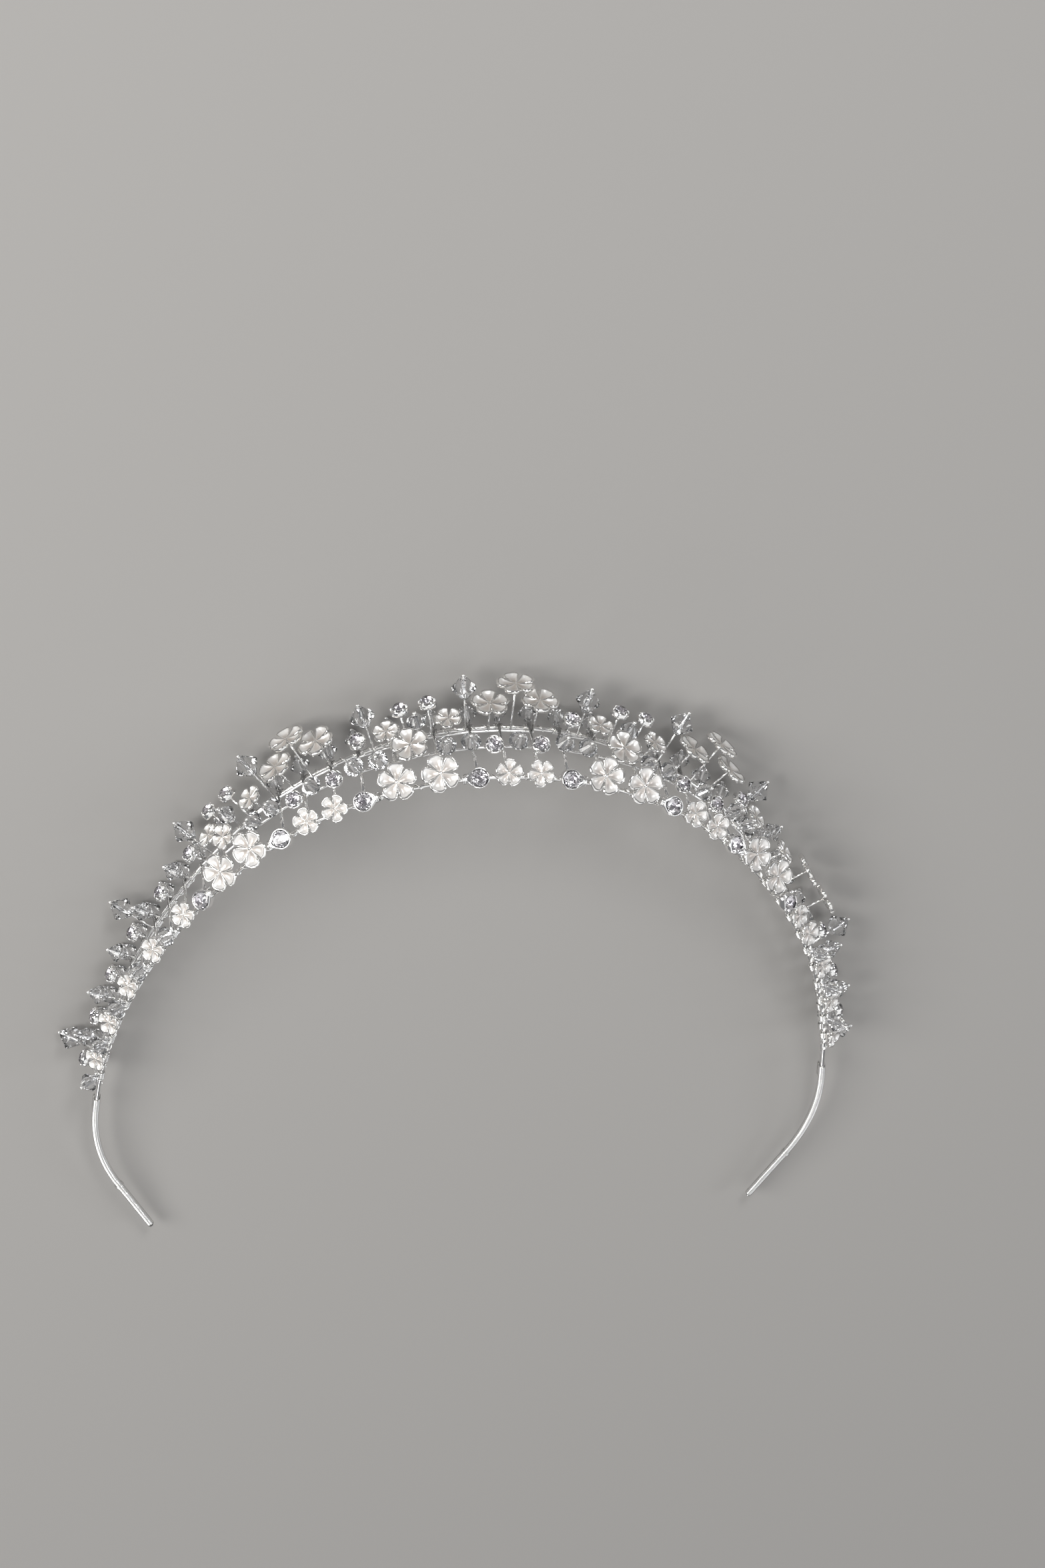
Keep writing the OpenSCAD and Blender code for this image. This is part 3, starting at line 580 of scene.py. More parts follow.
clear_crystal = cut_glass("clear crystal", (0.985, 0.99, 1.0), 1.62)
foiled_stone = cut_glass("foiled stone", (0.96, 0.945, 0.97), 1.66)
print("glass finishes:", clear_crystal.name, foiled_stone.name)

# %% [markdown]
# ## Helpers for meshes
# Most pieces are turned or ringed shapes: rings of points, quads between one ring and the next, and a
# cap on each end. Every finished piece is handed over in one place.


# %% Mesh helpers
def ring(r, z, sides, offset=0):
    """The points of a circle round the axis, in millimetres and degrees."""
    turns = [360 * k / sides + offset for k in range(sides)]
    return [(r * cos(a), r * sin(a), z) for a in turns]


def skin(first, sides, rings):
    """Faces between rings of points that start at point number first, and a cap on each end."""
    last = first + (rings - 1) * sides
    faces = [tuple(range(first, first + sides)), tuple(range(last, last + sides))]
    for start in range(first, last, sides):
        for k in range(sides):
            a, b = start + k, start + (k + 1) % sides
            faces.append((a, b, b + sides, a + sides))
    return faces


def turned(x, y, deg):
    return x * cos(deg) - y * sin(deg), x * sin(deg) + y * cos(deg)


def write_down(mesh, tags):
    """Gives each point of a mesh its values by name."""
    for title, values in tags.items():
        mesh.attributes.new(title, "FLOAT", "POINT").data.foreach_set("value", values)


def mesh_of(name, points, faces, smooth=True, tags=None):
    """A closed mesh from points in millimetres. Where they have tags, they aren't merged."""
    mesh = bpy.data.meshes.new(name)
    mesh.from_pydata([Vector(p) * MM for p in points], [], faces)
    write_down(mesh, tags or {})
    work = bmesh.new()
    work.from_mesh(mesh)
    if not tags:
        bmesh.ops.remove_doubles(work, verts=work.verts, dist=1e-7)
    bmesh.ops.recalc_face_normals(work, faces=work.faces)
    for face in work.faces:
        face.smooth = smooth
    work.to_mesh(mesh)
    work.free()
    return mesh


def lathe(name, outline, sides):
    """outline is a list of (radius, z) from the axis back to the axis, in millimetres."""
    points = [point for r, z in outline for point in ring(r, z, sides)]
    return mesh_of(name, points, skin(0, sides, len(outline)))


def hand_over(piece, nodes):
    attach(piece, "root")
    if nodes:
        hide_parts(*nodes)
    piece.data.calc_loop_triangles()
    print(piece.name + ":", len(piece.data.loop_triangles), "triangles")


def named(prefix):
    return [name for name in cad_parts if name.startswith(prefix)]


print("ready to make meshes")

# %% [markdown]
# ## Setting pieces on their spots
# A jeweller makes one master and sets copies of it. Geometry Nodes do the same: each spot is a point
# with a heading and a stretch, and one tree sets the master on every spot. A small random tilt with a
# fixed seed keeps the flowers from looking stamped in place.


# %% The tree that sets pieces
def setting_tree():
    tree, given, result = new_tree(
        "set on spots", "GeometryNodeTree",
        {"Spots": "Geometry", "Master": "Object", "Tilt": "Float", "Seed": "Int", "Finish": "Material"},
        {"Pieces": "Geometry"})
    master = add(tree, "GeometryNodeObjectInfo", {"As Instance": True})
    setter = add(tree, "GeometryNodeInstanceOnPoints")
    heading, stretch = (add(tree, "GeometryNodeInputNamedAttribute", {"Name": name},
                            data_type="FLOAT_VECTOR") for name in ("heading", "stretch"))
    jitter = add(tree, "FunctionNodeRandomValue", data_type="FLOAT_VECTOR")
    most = add(tree, "ShaderNodeCombineXYZ")
    least = add(tree, "ShaderNodeVectorMath", {3: -1}, operation="SCALE")
    turned, nudged = (add(tree, "FunctionNodeEulerToRotation") for k in range(2))
    both = add(tree, "FunctionNodeRotateRotation", rotation_space="LOCAL")
    join(tree, (given, "Tilt", most, "X"), (given, "Tilt", most, "Y"), (most, 0, least, 0),
         (least, 0, jitter, "Min"), (most, 0, jitter, "Max"), (given, "Seed", jitter, "Seed"),
         (heading, "Attribute", turned, 0), (jitter, 0, nudged, 0), (turned, 0, both, 0),
         (nudged, 0, both, 1), (given, "Master", master, "Object"),
         (given, "Spots", setter, "Points"), (master, "Geometry", setter, "Instance"),
         (both, 0, setter, "Rotation"), (stretch, "Attribute", setter, "Scale"))
    return end_tree(tree, given, result, setter, "Instances")


set_on_spots = setting_tree()
print("tree:", set_on_spots.name)


# %% Run a tree and keep the plain mesh
def run_tree(name, mesh, tree, **values):
    """Runs a tree on a mesh. The values are set by each socket's identifier."""
    carrier = new_object(name + "_spots", mesh)
    run = carrier.modifiers.new(tree.name, "NODES")
    run.node_group = tree
    for socket in tree.interface.items_tree:
        if socket.in_out == "INPUT" and socket.name in values:
            run[socket.identifier] = values[socket.name]
    graph = bpy.context.evaluated_depsgraph_get()
    plain = bpy.data.meshes.new_from_object(carrier.evaluated_get(graph), depsgraph=graph)
    carrier.modifiers.remove(run)
    bpy.data.objects.remove(carrier)
    plain.name = name
    return new_object(name, plain)


def set_pieces(name, master_mesh, places, finish, nodes=(), stretches=None, tilt=0, seed=1):
    """Sets a master on each place, a matrix in millimetres, and hands the piece over."""
    master = new_object(name + "_master", master_mesh)
    spots = bpy.data.meshes.new(name + "_spots")
    spots.from_pydata([m.to_translation() * MM for m in places], [], [])
    stretches = stretches or [(1, 1, 1)] * len(places)
    for title, rows in (("heading", [m.to_euler() for m in places]), ("stretch", stretches)):
        attribute = spots.attributes.new(title, "FLOAT_VECTOR", "POINT")
        attribute.data.foreach_set("vector", [v for row in rows for v in row])
    made = run_tree(name, spots, set_on_spots, Master=master, Tilt=math.radians(tilt), Seed=seed,
                    Finish=finish)
    bpy.data.objects.remove(master)
    hand_over(made, nodes)


print("ready to set pieces")

# %% [markdown]
# ## Cast flowers
# Each petal is a spoon: narrow at the centre, broad and a little squared outside, hollow along its
# middle, with a rolled rim. It is a small grid, bent into that form by a rule, closed underneath and
# turned five times round a low boss. The same rule makes the large and the small flower.

# %% The form of one petal
PETALS, SLIT = 5, 0.17  # number of petals, and half the width between two in millimetres
SQUARED, NOTCH = 0.25, 0.02  # how far the corners and the middle of the outline draw in
NECK_Z, RISE, BOWL, ROLL = 0.14, 0.36, 0.6, 0.2  # heights as shares of the thickness
UNDER_Z, UNDER_RISE, LEAST_T = -0.5, 0.28, 0.22  # the underside, in the same shares
UNDER_X, UNDER_Y = 0.97, 0.92  # how far in the underside stands, along and across a petal
OUTWARD = [0.06, 0.14, 0.24, 0.35, 0.47, 0.58, 0.68, 0.77, 0.85, 0.91, 0.955, 0.985, 1]
ACROSS = [-1, -0.95, -0.86, -0.72, -0.5, -0.25, 0, 0.25, 0.5, 0.72, 0.86, 0.95, 1]


def smoothstep(x, a, b):
    x = min(max((x - a) / (b - a), 0), 1)
    return x * x * (3 - 2 * x)


def petal_form(v, side):
    """Reach and height at v, from centre to rim, and side, from the middle to the edge."""
    reach = v * (1 - SQUARED * side ** 3.4 - NOTCH * (1 - smoothstep(side, 0, 0.3)))
    bowl = (1 - side ** 2.6) * smoothstep(v, 0.08, 0.5) * (1 - smoothstep(v, 0.66, 0.95))
    roll = smoothstep(side, 0.88, 1) * smoothstep(v, 0.2, 0.5) + smoothstep(v, 0.94, 1)
    z = NECK_Z + RISE * smoothstep(v, 0.1, 0.65) - BOWL * bowl - ROLL * min(roll, 1)
    hollow = (1 - smoothstep(side, 0.79, 0.91)) * smoothstep(v, 0.0, 0.06)
    hollow *= 1 - smoothstep(v, 0.86, 0.93)
    # painted warm shade, strongest at the centre and along the middle of a petal
    painted_shade = (1 - smoothstep(v, 0.35, 0.88)) * (1 - smoothstep(side, 0.35, 0.9))
    return reach, z, hollow, painted_shade


def petal(points, faces, tags, r, t, turn):
    """A fan from the centre to the outline, bent into a spoon and closed underneath."""
    base, top, under = len(points), [], []
    for v in OUTWARD:
        for w in ACROSS:
            reach, z, hollow, painted_shade = petal_form(v, abs(w))
            slit = SLIT * (0.2 + 0.8 * smoothstep(v, 0.25, 0.95))
            a = w * (180 / PETALS - math.degrees(math.atan(slit / (reach * r))))
            x, y = reach * r * cos(a), reach * r * sin(a)
            top.append((*turned(x, y, turn), z * t))
            low = min(UNDER_Z + UNDER_RISE * v * v, z - LEAST_T)
            under.append((*turned(x * UNDER_X, y * UNDER_Y, turn), low * t))
            tags.append((hollow, painted_shade))
    points += top + under
    tags += [(0, 0)] * len(under)
    n, cols = len(top), len(ACROSS)
    grid = [[base + i * cols + j for j in range(cols)] for i in range(len(OUTWARD))]
    for row in grid[:-1]:
        for a in row[:-1]:
            faces.append((a, a + cols, a + cols + 1, a + 1))
            faces.append((a + n, a + n + 1, a + n + cols + 1, a + n + cols))
    edge = grid[0] + [row[-1] for row in grid[1:]] + grid[-1][-2::-1]
    edge += [row[0] for row in grid[-2:0:-1]]
    faces += [(a, b, b + n, a + n) for a, b in zip(edge, edge[1:] + edge[:1])]


print("a petal has", len(OUTWARD) * len(ACROSS), "points on top")

# %% One flower
BOSS = [(0.17, -0.5), (0.19, -0.2), (0.1, 0.08), (0.06, 0.16), (0.001, 0.19)]  # shares
BOSS_SIDES = 12


def flower_mesh(name, kind):
    r, t = WIDE[kind] / 2, 2 * HALF[kind]
    points, faces, tags = [], [], []
    for k in range(PETALS):
        petal(points, faces, tags, r, t, 360 / PETALS * k)
    first = len(points)
    for share, z in BOSS:
        points += ring(share * r, z * t, BOSS_SIDES)
    tags += [(0, 0)] * (len(points) - first)
    faces += skin(first, BOSS_SIDES, len(BOSS))
    hollow, painted_shade = zip(*tags)
    return mesh_of(name, points, faces, tags={"hollow": hollow, "painted_shade": painted_shade})


large_mesh = flower_mesh("large_flower", "large")
print("one flower has", len(large_mesh.polygons), "faces")

# %% Set the flowers
for name, prefix, seed in (("front_flowers", "front_flower_", 3),
                           ("middle_flowers", "middle_flower_", 5),
                           ("top_flowers", "top_flower_", 8)):
    set_pieces(name, large_mesh, [stand(p) for p in groups[prefix]], petal_silver,
               named(prefix), tilt=3, seed=seed)
set_pieces("small_flower_field", flower_mesh("small_flower", "small"), stands("small"),
           petal_silver, ["small_flowers"], tilt=4, seed=11)

# %% [markdown]
# ## Crystals
# A bicone bead is cut as two pyramids foot to foot, with small facets along the girdle that catch the
# light, and it is drilled from end to end. Its facets stay flat, so it is shaded flat. The ring of
# points beside the girdle is turned half a step, which is what splits each side into facets.

# %% One crystal
CUTS, HALF_STEP = 8, 22.5
SHOULDER_R, SHOULDER_Z = 0.93, 0.12  # shares of the radius and of the half length


def crystal_mesh(name, kind):
    r, half, hole = WIDE[kind] / 2, HALF[kind], STEM_D / 2 + THREAD_GAP
    end, shoulder, lift = CRYSTAL_TIP / 2, r * SHOULDER_R, half * SHOULDER_Z
    points = []
    for q, z, offset in ((hole, -half, 0), (end, -half, 0), (shoulder, -lift, HALF_STEP),
                         (r, 0, 0), (shoulder, lift, HALF_STEP), (end, half, 0), (hole, half, 0)):
        points += ring(q, z, CUTS, offset)
    faces = []
    for k in range(CUTS):
        at = [(CUTS * i + k, CUTS * i + (k + 1) % CUTS) for i in range(7)]
        for a, b in ((0, 1), (5, 6), (6, 0)):
            faces.append((at[a][0], at[b][0], at[b][1], at[a][1]))
        for end_ring, side_ring in ((1, 2), (5, 4)):
            (low, high), side, girdle = at[end_ring], at[side_ring][0], at[3]
            faces += [(low, side, high), (low, girdle[0], side), (high, side, girdle[1]),
                      (side, *girdle)]
    return mesh_of(name, points, faces, smooth=False)


crystal_shape = crystal_mesh("crystal", "crystal")
print("one crystal has", len(crystal_shape.polygons), "facets")

# %% Set the crystals
set_pieces("tall_crystals", crystal_mesh("tall_crystal", "tall"), stands("tall"), clear_crystal,
           named("tall_crystal_"))
for name, node, rows in (("front_crystal_rows", "front_crystals", ("front", "mid", "upper", "top")),
                         ("back_crystal_row", "back_crystals", ("back",))):
    set_pieces(name, crystal_shape, stands("crystal", *rows), clear_crystal, [node])

# %% [markdown]
# ## Stones
# A brilliant has a flat table, kites and stars round it, a thin girdle and a steep pavilion. Rings of
# points on a convex form and a convex hull give exactly those facets.

# %% One stone
PAVILION, GIRDLE, CROWN, GIRDLE_SIDES = 0.3, 0.06, 0.2, 16  # heights as shares of the width
CULET_R, PAVILION_R, CROWN_EDGE_R, TABLE_R = 0.25, 0.64, 0.84, 0.6  # shares of the radius


def stone_mesh(name, d):
    r, pavilion, crown = d / 2, PAVILION * d, CROWN * d
    edge = pavilion + GIRDLE * d
    rings = [(CULET_R, 0, CUTS, 0), (PAVILION_R, pavilion * 0.5, CUTS, HALF_STEP),
             (1, pavilion, GIRDLE_SIDES, 0), (1, edge, GIRDLE_SIDES, 0),
             (CROWN_EDGE_R, edge + crown * 0.5, CUTS, HALF_STEP), (TABLE_R, edge + crown, CUTS, 0)]
    work = bmesh.new()
    for share, z, sides, offset in rings:
        for point in ring(share * r, z, sides, offset):
            work.verts.new(Vector(point) * MM)
    hull = bmesh.ops.convex_hull(work, input=work.verts)
    inside = [v for v in hull["geom_interior"] if isinstance(v, bmesh.types.BMVert)]
    bmesh.ops.delete(work, geom=inside, context="VERTS")
    bmesh.ops.dissolve_limit(work, angle_limit=math.radians(1.5), verts=work.verts, edges=work.edges)
    mesh = bpy.data.meshes.new(name)
    work.to_mesh(mesh)
    work.free()
    return mesh


TEAR_POCKET = TEAR_STONE_D * (PAVILION + GIRDLE) + SEAT_GAP
round_seats = [stand(p, -CUP_H / 2 + WALL + SEAT_GAP) for p in of_kind("round")]
tear_seats = [stand(p, TEAR_H / 2 - TEAR_POCKET + SEAT_GAP) for p in of_kind("tear")]
set_pieces("round_stone_field", stone_mesh("round_stone", STONE_D), round_seats, foiled_stone,
           ["round_stones"])
set_pieces("teardrop_stone_field", stone_mesh("teardrop_stone", TEAR_STONE_D), tear_seats,
           foiled_stone, ["teardrop_stones"])

# %% [markdown]
# ## Foil
# A rhinestone shines because its underside is coated like a mirror. The coat is a thin faceted cone
# that follows the underside of the stone, and it throws the light back through the top.

# %% Foil under the stones
FOIL_T, FOIL_GAP = 0.05, 0.01


def foil_mesh(name, d):
    rise = PAVILION * d
    points, faces = [], []
    for grow, drop in ((2 * FOIL_GAP, FOIL_GAP), (FOIL_T, FOIL_T)):
        for share, z, offset in ((CULET_R, 0, 0), (PAVILION_R, rise * 0.5, HALF_STEP), (1, rise, 0)):
            points += ring(share * d / 2 + grow, z - drop, CUTS, offset)
    shell = 3 * CUTS
    for low in (0, shell):
        mid, high = low + CUTS, low + 2 * CUTS
        faces.append(tuple(range(low, mid)))
        for k in range(CUTS):
            m = (k + 1) % CUTS
            faces += [(low + k, low + m, mid + k), (mid + k, low + m, mid + m),
                      (mid + k, mid + m, high + m), (mid + k, high + m, high + k)]
    rim, far = 2 * CUTS, shell + 2 * CUTS
    faces += [(rim + k, rim + (k + 1) % CUTS, far + (k + 1) % CUTS, far + k) for k in range(CUTS)]
    return mesh_of(name, points, faces, smooth=False)


set_pieces("round_foils", foil_mesh("round_foil", STONE_D), round_seats, foil_silver)
set_pieces("teardrop_foils", foil_mesh("teardrop_foil", TEAR_STONE_D), tear_seats, foil_silver)

# %% [markdown]
# ## Settings
# A teardrop setting is a round pocket with one narrow end. Its outline is two circles and the lines
# that touch both, and offsetting both circles alike rounds the lip. The cups are lathe shapes with a
# rolled lip and small claws that hold the stone at its girdle.

# %% Teardrop setting
TEAR_RUN = TEAR_LEN - TEAR_R - TEAR_TIP_R  # between the middles of the two circles
BIG_POINTS, SMALL_POINTS, LEAST_TIP = 40, 14, 0.02


def teardrop_outline(inset):
    slope = math.degrees(math.acos((TEAR_R - TEAR_TIP_R) / TEAR_RUN))
    r, q = TEAR_R - inset, max(TEAR_TIP_R - inset, LEAST_TIP)
    big = [slope + (360 - 2 * slope) * k / (BIG_POINTS - 1) for k in range(BIG_POINTS)]
    small = [-slope + 2 * slope * (k + 0.5) / SMALL_POINTS for k in range(SMALL_POINTS)]
    return ([(r * cos(a), r * sin(a)) for a in big]
            + [(TEAR_RUN + q * cos(a), q * sin(a)) for a in small])


def teardrop_mesh():
    h, pocket = TEAR_H / 2, TEAR_R - WALL
    outside = [(0.14, -h), (0.04, -h + 0.08), (0, -h + 0.25), (0, h - 0.3), (0.03, h - 0.12),
               (0.11, h - 0.02), (0.19, h)]  # inset, height
    inside = [(pocket + 0.12, h - 0.01), (pocket + 0.03, h - 0.1), (pocket, h - 0.25),
              (pocket, h - TEAR_POCKET)]  # radius, height
    points = [(x, y, z) for inset, z in outside for x, y in teardrop_outline(inset)]
    ways = [math.degrees(math.atan2(y, x)) for x, y in teardrop_outline(0)]
    points += [(r * cos(a), r * sin(a), z) for r, z in inside for a in ways]
    return mesh_of("teardrop_setting", points, skin(0, len(ways), len(outside) + len(inside)))


set_pieces("teardrop_settings", teardrop_mesh(), stands("tear"), setting_silver,
           named("teardrop_setting_"))

# %% Cups with claws
CUP_SIDES, CLAWS, CLAW_SIDES = 32, 6, 8
CLAW_OUT, CLAW_UP = 0.6, 0.5  # how a claw's section leans outwards and upwards


def cup_mesh():
    h, inner = CUP_H / 2, CUP_R - WALL
    outline = [(0.5, -h), (CUP_R - 0.25, -h), (CUP_R - 0.05, -h + 0.12), (CUP_R, -h + 0.4),
               (CUP_R, h - 0.22), (CUP_R - 0.06, h - 0.05), (CUP_R - 0.17, h),
               (inner + 0.07, h - 0.05), (inner, h - 0.2), (inner, -h + WALL)]  # radius, height
    claw = [(CUP_R - 0.2, h - 0.15, 0.24), (CUP_R - 0.24, h + 0.12, 0.22),
            (CUP_R - 0.4, h + 0.32, 0.2), (CUP_R - 0.62, h + 0.42, 0.13)]  # radius, height, size
    points = [point for r, z in outline for point in ring(r, z, CUP_SIDES)]
    faces = skin(0, CUP_SIDES, len(outline))
    for c in range(CLAWS):
        faces += skin(len(points), CLAW_SIDES, len(claw))
        for r, z, size in claw:
            for across, along, _ in ring(size, 0, CLAW_SIDES):
                place = turned(r + along * CLAW_OUT, across, 360 / CLAWS * c)
                points.append((*place, z + along * CLAW_UP))
    return mesh_of("cup", points, faces)


set_pieces("stone_cups", cup_mesh(), stands("round"), setting_silver)

# %% [markdown]
# ## Stems and cross wires
# Stems are straight wires of many lengths. One master wire, a metre long, is set on every foot and
# stretched to its length, so the same tree serves. A crystal's stem ends in a melted bead, and cross
# wires join the two band wires under each piece of the front row.

# %% Stems
MASTER_LEN = 1000
STEM_SHARE = 0.6  # how much of the solid under it a stem goes through


def wire_master(name, d, sides):
    return lathe(name, [(0, 0), (d / 2, 0), (d / 2, MASTER_LEN), (0, MASTER_LEN)], sides)


def stem_of(p):
    """Where a stem starts, and its stretch."""
    foot = (WRAP_IN + WRAP_OUT) / 2 if p.row == "back" else -STEM_D / 5
    if p.kind in ("tall", "crystal"):
        end = p.stem + HALF[p.kind] + THREAD_GAP + HEAD_D / 4
    elif p.kind == "round":
        end = p.stem - CUP_H / 2 + WALL / 2
    else:
        solid = TEAR_H - TEAR_POCKET if p.kind == "tear" else 2 * HALF[p.kind]
        end = p.stem - HALF[p.kind] + solid * STEM_SHARE - THREAD_GAP
    return stand(p, foot - p.stem), (1, 1, (end - foot) / MASTER_LEN)


feet, stretches = zip(*[stem_of(p) for p in pieces])
set_pieces("stems", wire_master("stem", STEM_D, 12), feet, stem_silver,
           stretches=stretches)
bead = [(0, 0), (HEAD_D * 0.32, 0.02), (HEAD_D * 0.46, 0.12), (HEAD_D / 2, 0.28),
        (HEAD_D * 0.44, 0.44), (HEAD_D * 0.28, 0.55), (0, 0.6)]  # radius, height
bead_places = [stand(p, HALF[p.kind] + THREAD_GAP) for p in of_kind("tall") + of_kind("crystal")]
set_pieces("stem_beads", lathe("bead", bead, 16), bead_places, stem_silver)

# %% Cross wires
fronts = [p.s for p in pieces if p.row == "front"]
feet = [band(s) @ shift(0, BAR_H, -half_gap(s) - WRAP_IN) for s in fronts]
lengths = [(1, 1, 2 * (half_gap(s) + WRAP_IN) / MASTER_LEN) for s in fronts]
set_pieces("cross_wires", wire_master("cross_wire", BAR_D, 16), feet, stem_silver,
           named("stem_frame_"), lengths)

# %% [markdown]
# ## Wire that follows a path
# Thin wires, lashings and the wound tails are all wire along a path. One tree makes them: it moves
# each point off the path at the angle written there, then sweeps a round section. With no offset it
# is a plain wire, and where the angle grows along the path it is a winding. Each point also has a
# share of the offset, which pulls single turns in.


# %% The tree that winds wire
def winding_tree():
    tree, given, result = new_tree(
        "wind wire", "GeometryNodeTree",
        {"Path": "Geometry", "Offset": "Float", "Wire": "Float", "Sides": "Int", "Finish": "Material"},
        {"Wound": "Geometry"})
    curve = add(tree, "GeometryNodeMeshToCurve")
    upright = add(tree, "GeometryNodeSetCurveNormal", mode="Z_UP")
    angle, share = (add(tree, "GeometryNodeInputNamedAttribute", {"Name": name}, data_type="FLOAT")
                    for name in ("angle", "share"))
    scaled = add(tree, "ShaderNodeMath", operation="MULTIPLY")
    normal, tangent = add(tree, "GeometryNodeInputNormal"), add(tree, "GeometryNodeInputTangent")
    turn = add(tree, "ShaderNodeVectorRotate", rotation_type="AXIS_ANGLE")
    reach = add(tree, "ShaderNodeVectorMath", operation="SCALE")
    move, circle = add(tree, "GeometryNodeSetPosition"), add(tree, "GeometryNodeCurvePrimitiveCircle")
    sweep = add(tree, "GeometryNodeCurveToMesh", {"Fill Caps": True})
    smooth = add(tree, "GeometryNodeSetShadeSmooth")
    join(tree, (given, "Path", curve, "Mesh"), (curve, 0, upright, "Curve"),
         (normal, "Normal", turn, "Vector"), (tangent, "Tangent", turn, "Axis"),
         (angle, "Attribute", turn, "Angle"), (turn, "Vector", reach, 0),
         (given, "Offset", scaled, 0), (share, "Attribute", scaled, 1), (scaled, 0, reach, 3),
         (upright, "Curve", move, "Geometry"), (reach, "Vector", move, "Offset"),
         (given, "Sides", circle, "Resolution"), (given, "Wire", circle, "Radius"),
         (move, "Geometry", sweep, "Curve"), (circle, "Curve", sweep, "Profile Curve"),
         (sweep, "Mesh", smooth, "Geometry"))
    return end_tree(tree, given, result, smooth, "Geometry")


wind_wire = winding_tree()


def wire_along(name, paths, offset, wire_d, sides, finish, nodes=()):
    """Each path is a list of (point in mm, angle in radians, share of the offset)."""
    edges, steps = [], []
    for path in paths:
        edges += [(len(steps) + i, len(steps) + i + 1) for i in range(len(path) - 1)]
        steps += path
    points, angles, shares = zip(*steps)
    mesh = bpy.data.meshes.new(name + "_path")
    mesh.from_pydata([Vector(p) * MM for p in points], edges, [])
    write_down(mesh, {"angle": angles, "share": shares})
    made = run_tree(name, mesh, wind_wire, Offset=offset * MM, Wire=wire_d / 2 * MM, Sides=sides,
                    Finish=finish)
    hand_over(made, nodes)


print("tree:", wind_wire.name)

# %% [markdown]
# ## Thin wires along the band
# Two thin wires run through the cross wires, one under the middle row and one under the upper rows,
# and carry the stems that stand between two cross wires.

# %% Two thin wires along the band
LINES = ((("mid",), lambda s: MID_SHARE * half_gap(s) - MID_BACK),
         (("upper", "top"), lambda s: -HIGH_SHARE * half_gap(s)))  # rows, and where their stems stand


def stops(fronts, stems):
    """The cross wires that a thin wire crosses, and its own ends where it stands proud of them."""
    first, last = min(stems) - RUN_D / 2, max(stems) + RUN_D / 2
    near = [s for s in fronts if first - FULL_PITCH / 6 < s < last + FULL_PITCH / 6]
    return ([first] if first < fronts[0] else []) + near + ([last] if last > max(fronts) else [])


def runs(found):
    mine = [p.s for p in found if p.row == "front"]
    lines = []
    for rows, foot in LINES:
        stems = [p.s for p in found if p.row in rows]
        if stems:
            spots = [band(s) @ shift(0, BAR_H, foot(s)) for s in stops(mine, stems)]
            lines.append([(spot.translation, 0, 1) for spot in spots])
    return lines


full = range(LEFT_ENDS, LEFT_ENDS + REPEATS)
spans = [(0, full.start), *((i, i + 1) for i in full), (full.stop, len(sections))]
lines = [line for a, b in spans for line in runs(sum(sections[a:b], []))]
wire_along("thin_wires", lines, 0, RUN_D, 12, stem_silver)

# %% [markdown]
# ## Lashing
# One fine wire binds each stem to the band. It lies turn beside turn at a stem and runs in long
# slants between two of them. So the angle grows fast near a stem and slowly elsewhere, and the same
# tree draws it round both band wires.

# %% Lashing round the band wires
LASH_D, LASH_DROP, LASH_PITCH, SLANT_PITCH, LASH_STEPS = 0.27, 0.13, WRAP_T * 1.05, 2.3, 11
LASH_BEFORE, LASH_PAST = 0.5, 2  # how far the lashing goes on past the ornament


def lashing(side):
    path, angle, s = [], 0.0, START - LASH_BEFORE
    while s < START + LENGTH + LASH_PAST:
        near = min(abs(s - f) for f in fronts)
        pitch = LASH_PITCH if near < WRAP_LEN / 2 else SLANT_PITCH
        tight = 1 - LASH_DROP * smoothstep(near, WRAP_LEN / 2, WRAP_LEN)
        path.append((band(s, side).translation, angle, tight))
        angle += 2 * math.pi / LASH_STEPS
        s += pitch / LASH_STEPS
    return path


for name, side in (("front_lashing", 1), ("back_lashing", -1)):
    wire_along(name, [lashing(side)], WRAP_IN + WRAP_T / 2, LASH_D, 6, stem_silver)

# %% Lashing beside the teardrop settings
BELT_TURNS, BELT_STEPS, BELT_PITCH = 3, 28, 0.3
BELT_WIRE_R, BELT_TIP_R, BELT_SINK, BELT_PAST = WIRE_D / 2 + 0.18, 0.95, 0.1, 0.1


def belt(p):
    """Turns round the front wire and the narrow end of a setting."""
    middle = p.s + (1 if p.turn == 0 else -1) * (TEAR_RUN + BELT_PAST)
    tip_spot = Vector((p.z - BELT_SINK * sin(p.lean), p.h - BELT_SINK * cos(p.lean)))
    path = []
    for k in range(BELT_TURNS * BELT_STEPS):
        turn = k / BELT_STEPS
        way = Vector((sin(360 * turn), cos(360 * turn)))
        round_tip = tip_spot.dot(way) + BELT_TIP_R > BELT_WIRE_R
        spot = tip_spot + way * BELT_TIP_R if round_tip else way * BELT_WIRE_R
        s = middle + BELT_PITCH * (turn - BELT_TURNS / 2)
        path.append(((band(s, 1) @ shift(0, spot.y, spot.x)).translation, 0, 1))
    return path


wire_along("setting_lashing", [belt(p) for p in of_kind("tear")], 0, LASH_D, 6, stem_silver)

# %% [markdown]
# ## Wound tails
# Behind the ear both wires end in a close winding of fine wire. On the collar it goes round both
# wires, and a few turns of a second layer stand where the straight end starts.

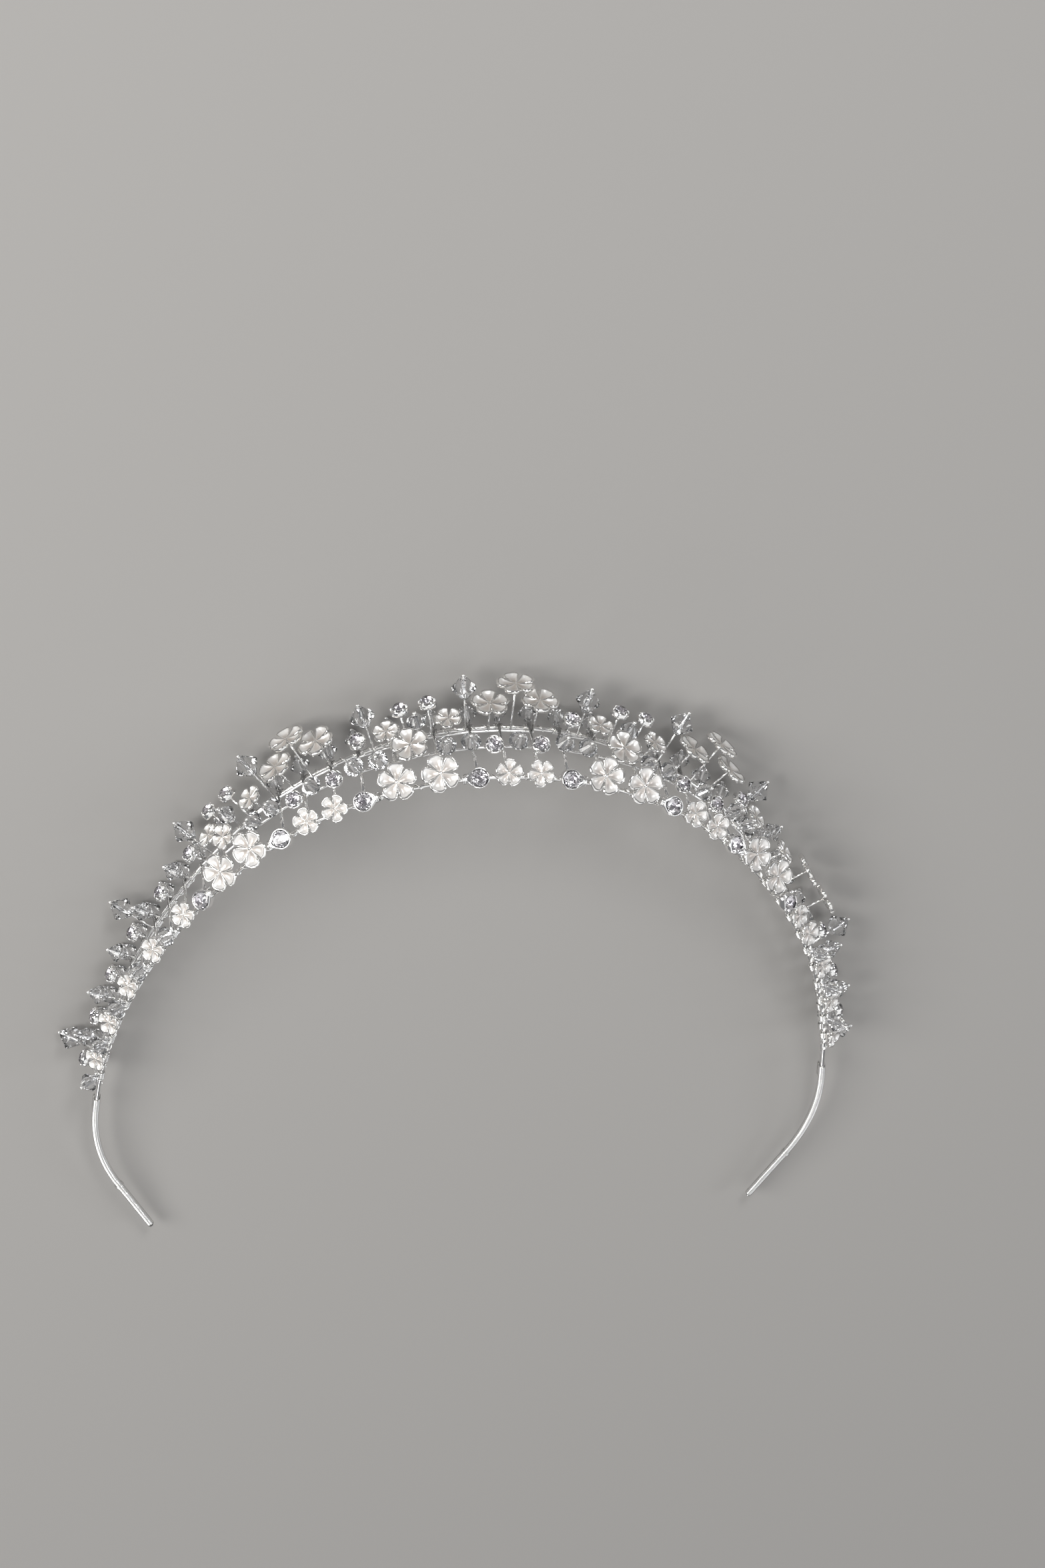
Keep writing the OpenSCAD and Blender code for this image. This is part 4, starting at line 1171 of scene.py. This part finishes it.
# %% Windings
WOUND_PITCH = WINDING_T * 1.04
STEP = WOUND_PITCH / 24
SLEEVE_START, COLLAR_START, SECOND_HALF = COLLAR_LEN - 0.5, 0.6, 0.33
SUNK, SUNK_LEN = 0.28, 0.08  # the ends of the second layer dip in


def steps(first, last, step):
    return [first + step * k for k in range(math.ceil((last - first) / step))]


def tail_spot(side, x, out=0, z=HALF_PAIR):
    """A place in the frame on a tail's way, or beside it by out and z."""
    px, py = tail_point(x)
    return FRAME @ Vector((side * (px + out * sin(MERGE_TURN)), py + out * cos(MERGE_TURN), z))


def wound(x):
    return 2 * math.pi * x / WOUND_PITCH


def sleeve(side):
    return [(tail_spot(side, x), side * wound(x - COLLAR_LEN), 1)
            for x in steps(SLEEVE_START, TAIL_LEN, 2 * STEP)]


def collar(side):
    """Turns round both wires: two half circles and the straight ways between them."""
    path, r = [], TAIL_OUT - WINDING_T / 2
    for x in steps(COLLAR_START, COLLAR_LEN, STEP):
        high = math.sin(wound(x))
        z = math.copysign(HALF_PAIR, high) + r * high
        path.append((tail_spot(side, x, r * math.cos(wound(x)), z), 0, 1))
    return path


def second_layer(side):
    path, middle = [], TAIL_LEN - GRIP_LEN
    for x in steps(middle - SECOND_HALF, middle + SECOND_HALF, STEP):
        inward = SECOND_HALF - abs(x - middle)
        sunk = SUNK * (1 - smoothstep(inward, 0, SUNK_LEN))
        path.append((tail_spot(side, x), side * wound(x), 1 - sunk))
    return path


for name, side in (("left_winding", -1), ("right_winding", 1)):
    wire_along(name + "_turns", [sleeve(side)], TAIL_OUT - WINDING_T / 2, WINDING_T, 6,
               wound_silver, [name])
    wire_along(name + "_collar", [collar(side)], 0, WINDING_T, 6, wound_silver)
    wire_along(name + "_second_layer", [second_layer(side)], TAIL_OUT + WINDING_T / 2, WINDING_T,
               8, wound_silver)

# %% [markdown]
# ## Band wires
# The two band wires are right as the solid model has them, so they only get their finish.

# %% Finish of the band wires
for name in ("front_wire", "back_wire"):
    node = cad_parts[name]
    node.data.materials.clear()
    node.data.materials.append(band_silver)
print("band wires finished")
